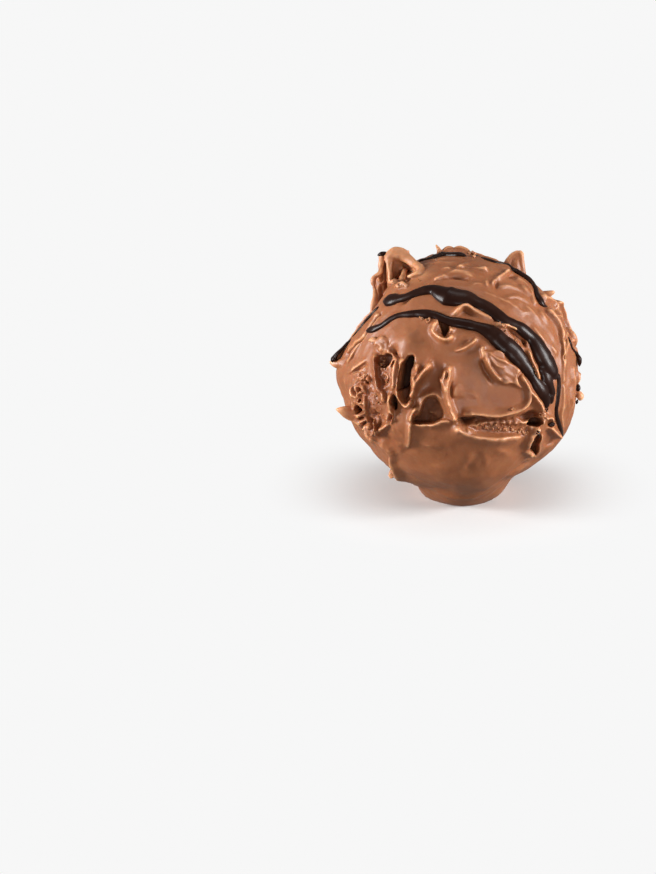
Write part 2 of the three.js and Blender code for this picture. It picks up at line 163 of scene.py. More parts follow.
# A ridge stands up along its path, with its own width on the left and the right of someone walking
# along it, and may lean to the left (or to the right, where negative). Its skirt is the share of its
# height that runs out gently, and towards is the share that goes straight towards its side and not
# outward. A path's third number scales the height there. A negative height makes a crease.
ridges = [
    # the forked wall in the middle
    ridge([(-1.55, 0.7, 0.6), (-1.35, 0.2), (-1.25, -0.6), (-1.45, -1.6), (-1.6, -2.6), (-1.35, -3.8),
           (-1, -4.8), (-0.72, -5.5, 1.1), (-0.6, -6.2)], 1.6, 0.16, 0.26),
    ridge([(-1.65, 0.4, 0.5), (-1.85, -0.5), (-1.95, -1.3), (-1.8, -2.2), (-1.65, -3, 0.6)], 1.4, 0.2, 0.2),
    ridge([(-1.5, -0.3, 0.4), (-1.62, -1.2), (-1.7, -2.2), (-1.6, -3, 0.6)], 1, 0.3, 0.3),
    ridge([(-2.45, -0.65, 0.5), (-2.25, -1.1), (-2.05, -1.8), (-1.9, -2.5, 0.5)], 1.1, 0.12, 0.15),
    ridge([(-0.15, -1.1, 0.3), (-0.5, -1.9), (-0.85, -3), (-0.8, -3.7, 0.5)], 0.3, 0.9, 0.1),
    ridge([(-1.05, -0.9, 0.5), (-1.1, -1.8), (-1.05, -2.6), (-1.1, -3.4, 0.5)], -0.7, 0.06, 0.08),
    ridge([(-1.45, 0.1, 0.5), (-1.55, -0.5), (-1.65, -1.2, 0.5)], -0.3, 0.03, 0.03),
    ridge([(0.2, -2.6, 0.3), (1.2, -2.7), (1.8, -3.3), (1.9, -4.2, 0.3)], 0.1, 0.2, 0.2),
    # the lips of the slot on its right
    ridge([(-0.6, -6.2, 1.4), (-0.1, -7, 1.3), (0.8, -7.5, 1.1), (2, -7.75), (3.2, -8), (4.5, -7.95),
           (6, -7.85), (7.3, -7.85, 0.5)], 0.6, 0.22, 0.55),
    ridge([(0.4, -6.7, 0.6), (1, -7), (2, -7.2, 0.5)], 0.4, 0.25, 0.25),
    ridge([(-0.3, -5.5), (0.6, -5.6), (2, -5.55), (3.5, -5.7), (5.5, -5.55, 0.5)], -0.6, 0.1, 0.35),
    ridge([(-0.2, -5.1, 0.3), (1.2, -5), (2.2, -5.05), (3.5, -5.2), (4.6, -5.2), (5.8, -5), (6.8, -4.65),
           (7.6, -4.15), (8.05, -3.5), (8.05, -2.8), (7.75, -2), (7.4, -1.3), (7, -0.5, 0.6)],
           0.7, 0.35, 0.08, lean=-0.15),
    ridge([(6.9, -0.35, 0.5), (7.3, -1), (7.9, -1.9), (8.5, -2.8), (9.1, -3.6), (9.6, -4.4), (9.8, -5.1)],
           0.9, 0.16, 0.22),
    # around the hollow on its left
    ridge([(-5.1, -5.1, 0.6), (-4.7, -4.4), (-4.35, -3.7), (-3.95, -3.1), (-3.3, -2.8), (-2.7, -2.95),
           (-2.2, -3.3), (-1.8, -3.9, 0.6)], 0.5, 0.4, 0.08),
    ridge([(-5.6, -6.2), (-4.8, -6.3), (-3.8, -6.3), (-2.8, -6.2), (-2, -5.95), (-1.2, -5.85), (-0.7, -6)],
           0.5, 0.08, 0.35),
    ridge([(-5, -3.9, 0.4), (-5.1, -4.4), (-5.55, -5.05), (-5.75, -5.7), (-5.65, -6.3)], 1, 0.1, 0.25),
    ridge([(-5.6, -5.8), (-5.7, -6.5), (-5.8, -7.3), (-5.85, -8.1), (-5.95, -8.7), (-6.2, -9.1, 0.4)],
           0.6, 0.06, 0.3, skirt=0.2),
    # around the long deep pit
    ridge([(-6.85, 1.6, 0.4), (-6.95, 0.6), (-7.1, -0.4), (-7.3, -1.5), (-7.35, -2.4), (-7.2, -3.2),
           (-6.8, -3.95), (-6.4, -4.3), (-6.05, -4.1), (-5.8, -3.5)], 1.4, 0.12, 0.14),
    ridge([(-5, 1, 0.4), (-5.25, 0.2), (-5.5, -0.8), (-5.42, -1.6), (-5.45, -2.3), (-5.75, -2.9),
           (-6, -3.4, 0.6)], 1.4, 0.2, 0.14),
    ridge([(-5.5, -2.4), (-5.2, -1.5), (-4.75, -0.75), (-4.3, -0.15), (-3.85, 0.35), (-3.6, 1, 0.8)],
           1.4, 0.2, 0.22),
    ridge([(-4.5, -0.4, 0.8), (-4.05, 0), (-3.6, 0.5, 0.6)], 1.2, 0.12, 0.16),
    ridge([(-4.95, 0.3), (-5.15, -0.5), (-5, -1.1, 0.5)], -0.6, 0.1, 0.1),
    # the trough left of it
    ridge([(-9.9, 2.1, 0.5), (-9.95, 1.2), (-9.95, 0), (-9.85, -1), (-9.65, -1.9), (-9.35, -2.6),
           (-9.05, -3.3), (-8.9, -4, 0.5)], 0.8, 0.12, 0.2),
    ridge([(-9.5, -1.9, 0.6), (-9.1, -2.6), (-8.75, -3.4, 0.5)], 0.7, 0.06, 0.08),
    ridge([(-7.45, 1.6, 0.4), (-7.65, 0.7), (-7.8, -0.3), (-7.8, -1.5), (-8, -2.5, 0.8)], 0.8, 0.28, 0.12),
    ridge([(-7.75, 1.5, 0.6), (-7.9, 0.95), (-8.15, 0.4, 0.6)], 0.5, 0.04, 0.04, skirt=0.1),
    ridge([(-7.8, 2.6, 0.5), (-7.5, 2), (-7.1, 1.55), (-6.85, 1.2, 0.5)], -0.6, 0.08, 0.08),
    ridge([(-9, -0.2, 0.6), (-8.6, -0.4), (-8.35, -0.9), (-8.6, -1.3), (-8.9, -0.8, 0.6)], 0.4, 0.07, 0.07),
    ridge([(-8.1, -2.7), (-8.25, -3.6), (-8.2, -4.6), (-8.1, -5.3), (-8.2, -6), (-8.75, -6.6),
           (-9.3, -6.95), (-9.85, -7.4)], 1, 0.12, 0.22),
    ridge([(-7.75, -4.7, 0.6), (-7.85, -5.5), (-8.15, -6.3, 0.6)], -0.9, 0.12, 0.08),
    ridge([(-8.9, -5.1, 0.7), (-8.5, -5.5), (-8.45, -6.1), (-8.9, -6.65), (-9.6, -7, 0.7)], 0.5, 0.3, 0.2),
    ridge([(-9.1, -5.3, 0.6), (-9.3, -4.95), (-9.65, -5.05, 0.7), (-9.75, -5.6, 0.5)], -0.5, 0.06, 0.06),
    ridge([(-9.35, -5.2, 0.6), (-9.45, -5.8), (-9.5, -6.4, 0.6)], 0.4, 0.08, 0.08),
    ridge([(-9.45, -6.5, 0.7), (-9.6, -6.9, 0.7)], -0.7, 0.1, 0.1),
    # the knot and its fingers at the lower left
    ridge([(-10.15, -5.6, 0.7), (-10.05, -6.4), (-9.85, -7.1), (-9.9, -7.9, 0.8)], 1.3, 0.1, 0.1),
    ridge([(-11, -6, 0.7), (-10.75, -6.7), (-10.35, -7.3), (-10.05, -8)], 1.2, 0.12, 0.14),
    ridge([(-9.85, -5.6, 0.6), (-9.7, -6.4), (-9.55, -6.9, 0.6)], -0.9, 0.1, 0.1),
    ridge([(-10.5, -5.4, 0.6), (-10.45, -6.2), (-10.2, -6.9, 0.6)], -0.9, 0.1, 0.1),
    ridge([(-12.1, -5.9), (-11.5, -6.8), (-10.8, -7.75), (-10, -8.6)], 0.4, 0.12, 0.3),
    ridge([(-11.5, -6.2), (-11, -7), (-10.4, -7.7)], 0.7, 0.07, 0.07),
    ridge([(-9.9, -8.3), (-9, -9), (-8.35, -9.9), (-8.15, -11), (-7.6, -12.2), (-6.7, -13, 0.4)],
           0.6, 0.5, 0.15),
    # soft marks below
    ridge([(0.8, -11.6, 0.4), (1.3, -10.8), (1.8, -10), (2.2, -9.2, 0.4)], -0.2, 0.3, 0.3),
    ridge([(2.4, -9.4, 0.4), (3, -10.4), (2.8, -11.4, 0.4)], 0.12, 0.3, 0.3),
    ridge([(-4.4, -13.3, 0.5), (-2, -13.8), (0.4, -14), (3, -14.1, 0.5)], -0.25, 0.1, 0.1),
    ridge([(-5, -8.4, 0.4), (-3.4, -8.7), (-1.6, -8.9, 0.4)], 0.16, 0.3, 0.15),
    ridge([(-3.8, -11, 0.4), (-2.2, -11.4), (-0.6, -11.4, 0.4)], 0.14, 0.15, 0.4),
    ridge([(3.6, -9.2, 0.4), (5, -9.4), (6.4, -9.9, 0.4)], 0.16, 0.2, 0.4),
    ridge([(5.4, -12, 0.5), (6.6, -11.2), (8, -10.5), (9.8, -9.6, 0.4)], -0.3, 0.3, 0.3),
    # the web of threads
    ridge([(-10.9, -0.5, 0.6), (-11.3, -0.8), (-11.65, -1.2), (-11.4, -1.8), (-11.2, -2.4), (-11.3, -3),
           (-11.1, -3.8), (-11, -4.6), (-10.95, -5.5), (-10.85, -6.3)], 0.8, 0.12, 0.12),
    ridge([(-11.9, -1.3, 0.5), (-12.1, -2), (-12, -2.8), (-11.7, -3.2)], 1.2, 0.08, 0.08),
    ridge([(-12.6, -1.6, 0.5), (-12.85, -2.4), (-12.5, -3), (-12, -3.5)], 1, 0.09, 0.09),
    ridge([(-10.5, -0.6, 0.6), (-10.8, -0.9), (-10.6, -1.6, 0.6)], 1, 0.07, 0.07),
    ridge([(-11.9, -0.9, 0.6), (-11.4, -0.6), (-10.9, -0.35, 0.6)], 1, 0.1, 0.1),
    ridge([(-12.2, -1.9), (-11.8, -1.8), (-11.35, -2.1)], 1, 0.07, 0.07),
    ridge([(-11.9, -2.7), (-11.6, -2.5), (-11.2, -2.7)], 1, 0.07, 0.07),
    ridge([(-12.4, -3.6), (-11.9, -3.75), (-11.5, -3.8), (-11.1, -3.9)], 1.1, 0.08, 0.08),
    ridge([(-12.3, -5.2), (-11.7, -5.12), (-11.1, -4.95)], 1.4, 0.07, 0.07),
    ridge([(-12.2, -5.95), (-11.7, -6), (-11, -5.95)], 1, 0.07, 0.07),
    ridge([(-10.9, -2.2, 0.5), (-10.8, -3)], -0.6, 0.02, 0.04),
    ridge([(-10.75, -3.7), (-10.65, -4.3), (-10.55, -4.9, 0.5)], -0.9, 0.04, 0.06),
    # plates and lips on the left edge
    ridge([(-9.3, 7, 0.4), (-9.8, 6.3), (-10.3, 5.6), (-10.95, 4.6), (-11.5, 3.75), (-12.2, 2.6),
           (-12.75, 1.6), (-13.2, 0.8, 0.4)], 0.65, 0.2, 0.26, skirt=0.2, towards=0.9),
    ridge([(-8.9, 6.6, 0.4), (-9.4, 6.1), (-9.9, 5.4), (-10.7, 4.1), (-11.2, 3.35), (-11.7, 2.6),
           (-12.2, 1.8), (-12.85, 0.95, 0.6)], -0.9, 0.08, 0.08, skirt=0.1),
    ridge([(-10.75, 1.3, 0.7), (-11.4, 0.85), (-12.4, 0.15), (-13.3, -0.45, 0.5)],
           0.3, 0.06, 0.4, skirt=0.1, towards=0.8),
    # the torn flake and the marks around it
    ridge([(2.45, 2.5, 0.6), (2.7, 1.6), (3.1, 0.8), (3.6, -0.1), (4.2, -0.95), (4.75, -1.5, 0.6)],
           0.35, 0.2, 0.1),
    ridge([(2.3, 1.5, 0.5), (2.5, 0.8), (2.8, 0), (3.3, -0.8), (3.9, -1.6, 0.5)], -0.35, 0.15, 0.2),
    ridge([(3, 1.9, 0.8), (3.6, 1.2), (4.3, 0.5), (5.3, 0.2, 0.5)], 0.25, 0.05, 0.12),
    ridge([(3.1, 2.1, 0.8), (4.1, 1.45), (5.2, 0.95), (5.8, 0.7, 0.5)], 0.2, 0.05, 0.15),
    ridge([(4.4, 0.2, 0.6), (5.3, -0.3), (6.4, -0.8, 0.5)], 0.15, 0.05, 0.15),
    ridge([(4.2, -0.5, 0.6), (5.1, -0.9), (6.3, -1.6, 0.5)], 0.18, 0.05, 0.15),
    ridge([(3.3, 0.9, 0.6), (3.9, -0.1), (4.8, -0.9, 0.5)], -0.25, 0.06, 0.06),
    ridge([(4.75, -1.5), (5.7, -1.5), (6.9, -2.05, 0.5)], 0.2, 0.2, 0.1),
    ridge([(6.9, -2, 0.5), (6.5, -1.2), (6.2, -0.4, 0.4)], 0.25, 0.3, 0.1),
    ridge([(2.3, 1.1, 0.6), (2.6, 1.7), (2.5, 2.5), (3, 2.7, 0.5)], 0.5, 0.08, 0.08),
    ridge([(-0.9, 2.15, 0.4), (0, 2.45), (0.9, 2.9), (1.6, 3.4), (1.9, 4, 0.5)], 0.4, 0.1, 0.1),
    ridge([(0.1, 2.9, 0.4), (0.9, 3.3), (1.3, 3.8, 0.4)], 0.3, 0.1, 0.08),
    # the little open loop under the lower strand and the lumps between the strands
    ridge([(-2.75, 5.9, 1.2), (-3.05, 5.3), (-3.25, 4.7), (-2.9, 4.15), (-2.3, 3.75), (-1.6, 3.6),
           (-1.15, 3.9), (-1, 4.4, 0.6)], 0.8, 0.1, 0.25),
    ridge([(-1.4, 5, 0.6), (-1.1, 4.7), (-0.7, 4.9)], 0.6, 0.12, 0.12),
    ridge([(-1, 6.3, 0.7), (-0.5, 6.75), (-0.1, 7.2), (0.4, 7.5), (1, 7.45), (1.7, 7, 0.8), (2.8, 6.4, 0.5),
           (4, 5.85, 0.3)], 0.7, 0.2, 0.22, skirt=0.15),
    ridge([(0.2, 6.95, 0.6), (0.8, 6.85), (1.6, 6.4, 0.5)], -0.45, 0.12, 0.12),
    ridge([(3.9, 5.5, 0.7), (4.7, 5.3), (5.5, 5.2), (6.2, 4.95), (6.8, 4.5)], 0.55, 0.12, 0.12),
    ridge([(7.8, 2.5, 0.6), (8.4, 1.2), (9, -0.2), (9.3, -1.2, 0.6)], 0.8, 0.1, 0.1),
    # the fold down the right and what lies beside it
    ridge([(9.9, 7.4, 0.6), (10.8, 6.85), (11.6, 5.9), (12.05, 4.9), (12.2, 3.8), (12.3, 2.8), (12.25, 1.8),
           (12.2, 0.9, 0.7), (12.15, -0.2, 0.45), (12.1, -1.6, 0.3)], 0.75, 0.2, 0.12, skirt=0.2),
    ridge([(10.3, 6.9, 0.5), (11, 6.15), (11.5, 5.2), (11.8, 4), (11.85, 3), (11.8, 2), (11.7, 1.3, 0.6)],
           -0.8, 0.1, 0.06, skirt=0.05),
    ridge([(13.2, 0.9, 0.5), (13.45, -0.5), (13.5, -2), (13.4, -3.4), (13, -4.8, 0.5)], 0.5, 0.12, 0.2),
    ridge([(12.8, 1.4, 0.4), (12.85, -0.8), (12.7, -3), (12.75, -5.6, 0.4)], 0.25, 0.08, 0.16),
    ridge([(12.1, -1.4, 0.6), (12.15, -3.6), (12, -5.4), (12.2, -7, 0.4)], 0.35, 0.2, 0.1),
    ridge([(-13.6, -0.4, 0.4), (-13.4, -1.5), (-12.95, -2.6, 0.4)], 0.25, 0.3, 0.05),
    ridge([(9.2, 9.3, 0.5), (10.2, 8.6), (11.3, 8.1), (12, 7.2)], 0.5, 0.4, 0.2),
    # the corner at the lower right
    ridge([(8, -9.4, 0.6), (8.15, -8.6), (8.5, -7.8), (9.1, -7.1), (9.5, -6.4)], 0.9, 0.3, 0.1),
    ridge([(9.5, -7.2, 0.6), (9.45, -8.2), (9.3, -9.2), (9, -10, 0.5)], 0.3, 0.5, 0.08),
    ridge([(10.7, -6.6), (11.3, -7.2), (12, -7.95)], 0.6, 0.2, 0.12),
    ridge([(8.9, -5.1, 0.7), (9.6, -5.4), (10.2, -4.7)], 0.8, 0.15, 0.15),
    ridge([(9.7, -5.4), (9.6, -6.2), (9.3, -6.9)], 0.8, 0.15, 0.15),
    ridge([(9.7, -5.4), (10.2, -5.65), (10.9, -5.6), (11, -6.3)], 0.7, 0.1, 0.1),
    ridge([(7.3, -9.2, 0.6), (8, -9.6), (8.7, -10.1, 0.6)], 0.6, 0.4, 0.3),
    ridge([(-8.9, 9.15, 0.5), (-8.4, 9.5), (-7.9, 9.85, 0.5)], -0.5, 0.05, 0.05),
    ridge([(-6.8, 7.65, 0.5), (-6.2, 8, 0.8), (-5.4, 8.35, 0.5)], -0.4, 0.05, 0.1),
    # smears across the top
    ridge([(-3.2, 10.6), (-2.6, 10.9, 0.9), (-1.6, 11.3, 0.7), (-0.5, 11.5, 0.7), (0.6, 11.35, 0.5),
           (1.8, 10.9, 0.3)], 0.55, 0.25, 0.05, skirt=0.1, towards=0.3),
    ridge([(-1.9, 10.85, 0.5), (-0.8, 10.95), (0.3, 10.8), (1, 10.4, 0.5)], -0.4, 0.15, 0.25),
    ridge([(-2.3, 11.9, 0.6), (-1.5, 11.95), (-0.8, 12, 0.4)], 0.3, 0.04, 0.12, skirt=0.1),
    ridge([(-0.3, 11.9, 0.4), (0.2, 12.35), (0.9, 12.5), (1.8, 12.3), (2.6, 12), (3.5, 11.75, 0.9)],
           0.5, 0.2, 0.04, skirt=0.1, towards=0.3),
    ridge([(0.1, 11.9, 0.6), (1, 12), (1.9, 11.85), (2.5, 11.6, 0.5)], -0.4, 0.06, 0.12),
    ridge([(-3.6, 13.1, 0.4), (-2, 13.1), (0.6, 13, 0.4)], 0.2, 0.04, 0.04),
    ridge([(-3.3, 12.6, 0.4), (-1.6, 12.6), (0, 12.7, 0.4)], 0.2, 0.04, 0.04),
    ridge([(3.9, 10.5, 0.4), (4.7, 11.1), (5.4, 11.6), (6, 11.9, 0.6)], 0.55, 0.15, 0.25),
    ridge([(5.2, 10.8, 0.5), (5.9, 10.9), (6.4, 10.7, 0.5)], -0.35, 0.2, 0.2),
    ridge([(3.1, 10.8, 0.5), (3.15, 10.2), (3.3, 9.6, 0.5)], 0.4, 0.06, 0.2),
    ridge([(4.1, 10.5, 0.5), (4.15, 10.1), (4.15, 9.3, 0.5)], -0.3, 0.1, 0.1),
    ridge([(3.6, 9.9, 0.5), (4, 10.5), (4.9, 10.9, 0.5)], 0.35, 0.1, 0.1),
    ridge([(1, 9.9, 0.4), (2.2, 10.2), (3, 10, 0.4)], 0.25, 0.1, 0.2),
    ridge([(6.2, 11.1, 0.5), (7.1, 10.65), (7.9, 10), (8.4, 9.2), (8.7, 8.3), (9.3, 7.5, 0.6)],
           0.45, 0.04, 0.2),
    ridge([(6.7, 10.15, 0.5), (7.4, 9.75), (8.1, 9.1), (8.5, 8.3, 0.5)], 0.4, 0.1, 0.25),
    ridge([(4.4, 9.6, 0.4), (5.6, 9.8), (6.8, 9.5), (7.6, 9, 0.4)], 0.25, 0.2, 0.05),
    ridge([(2.4, 9.2, 0.4), (4.4, 8.6), (6.4, 7.6), (7.8, 6.4, 0.4)], 0.25, 0.05, 0.25),
    ridge([(5, 8.4, 0.4), (6.4, 8.6), (7.6, 8.2), (8.4, 7.6, 0.4)], 0.2, 0.2, 0.04),
    ridge([(6, 8.4, 0.4), (7.6, 7.6), (8.8, 6.4), (9.8, 5, 0.4)], 0.25, 0.05, 0.25),
    ridge([(6.6, 6.9, 0.4), (7.8, 6.8), (9, 6.2, 0.4)], 0.2, 0.2, 0.05),
    ridge([(9, 7.2, 0.4), (9.8, 6.4), (10.4, 5.4, 0.4)], 0.35, 0.1, 0.25),
    ridge([(8.2, 5.4, 0.4), (9.4, 4), (10.3, 2.6, 0.4)], 0.25, 0.2, 0.05),
    ridge([(10.3, 3.2, 0.4), (11, 2.4), (11.4, 1.6, 0.4)], 0.3, 0.15, 0.15),
    # right side
    ridge([(-1, -0.6, 0.4), (0.6, -1.2), (2, -1.3), (3.4, -1, 0.5)], 0.4, 0.3, 0.1, turn=90),
    ridge([(-1.6, -2.6, 0.4), (0, -3.1), (1.6, -3, 0.8), (3, -3.4, 0.4)], 0.35, 0.1, 0.4, turn=90),
    ridge([(-1.4, -4.9, 0.4), (0, -5.2), (1.4, -5.6, 0.5)], 0.35, 0.2, 0.2, turn=90),
    ridge([(2.4, 3.4, 0.4), (3.8, 2), (4.4, 0.2), (4.2, -1.8), (3.4, -3.6, 0.4)], 0.7, 0.4, 0.08, turn=90),
    ridge([(1, -7.6, 0.4), (2.8, -7.2), (4.8, -6.4), (6.4, -5.2, 0.5)], 0.6, 0.1, 0.5, turn=90),
    ridge([(0.1, 4.2, 0.3), (0.8, 3, 0.8), (1.2, 1.2), (1, -0.4), (0.6, -2)],
           0.9, 0.6, 0.1, turn=135, lean=-0.25, towards=0.2),
    ridge([(-1, -3.4, 0.5), (0.4, -4.6), (2.2, -5), (4.2, -5), (5.6, -4.4, 0.5)],
           0.8, 0.5, 0.1, turn=135, towards=0.2),
    ridge([(4.8, 5.6, 0.5), (5.4, 4.6), (5.8, 3.4), (5.8, 1.8, 0.6)], 0.8, 0.1, 0.5, turn=135, towards=0.2),
    ridge([(-4.6, -6.2, 0.5), (-2.6, -8), (-0.4, -8.8), (2, -9), (4.4, -8.4, 0.5)],
           0.6, 0.2, 0.9, turn=135, towards=0.2),
    # back
    ridge([(-6, 5.2, 0.5), (-4.4, 4.8), (-3.4, 3.6), (-2.8, 2), (-2.6, 0.4), (-3, -1.4), (-3.6, -3, 0.5)],
           1.1, 0.5, 0.1, turn=180, lean=-0.2, towards=0.2),
    ridge([(1.6, 2.6, 0.5), (2.2, 1.6), (2.4, 0.2), (2.2, -1.2), (1.6, -2.4, 0.5)],
           1.1, 0.12, 0.5, turn=180, towards=0.2),
    ridge([(-2.4, -5, 0.5), (-0.6, -6), (1.2, -6.4, 0.8), (3.6, -6.3), (5.8, -5.6), (7.6, -4, 0.5)],
           0.8, 0.1, 0.8, turn=180, lean=0.2, towards=0.2),
    ridge([(5.6, 3.4, 0.5), (6.6, 2.6), (7.2, 1.6), (7.4, 0, 0.5)], 0.8, 0.6, 0.1, turn=180, towards=0.2),
    ridge([(-8, -2.4, 0.5), (-7.6, -4.4), (-6.4, -6.6), (-4.6, -8.4), (-2.4, -9.6, 0.5)],
           0.7, 0.2, 0.6, turn=180, towards=0.2),
    ridge([(-5, 9.4, 0.5), (-2.6, 9.9), (0, 9.8), (2.2, 9.2, 0.5)], 0.5, 0.1, 0.4, turn=180, towards=0.2),
    # left side
    ridge([(-5, 4.4, 0.5), (-3.6, 3.2), (-2.8, 1.6), (-2.4, 0), (-2.4, -1.8, 0.5)],
           0.9, 0.5, 0.1, turn=222, towards=0.2),
    ridge([(1.2, 3.8, 0.5), (1.7, 2.4), (1.6, 0.8), (1, -0.8, 0.5)], 1, 0.1, 0.4, turn=222, towards=0.2),
    ridge([(-4.4, -4.6, 0.5), (-2.6, -5.8), (-0.6, -6), (1.6, -5.8), (3.6, -5, 0.5)],
           0.8, 0.1, 0.8, turn=222, towards=0.2),
    ridge([(-6.2, -8.4, 0.5), (-4.6, -7.8), (-3, -7.6), (-1.8, -7.9, 0.4)], 0.45, 0.1, 0.5, turn=270),
    ridge([(-4.2, 2.4, 0.4), (-4.6, 0.6), (-4.2, -1.4), (-3.2, -3, 0.4)], 0.6, 0.1, 0.4, turn=270),
    ridge([(-2.2, 1.2, 0.4), (-1.6, -0.4), (-1.8, -2.4, 0.4)], 0.4, 0.4, 0.06, turn=270),
]

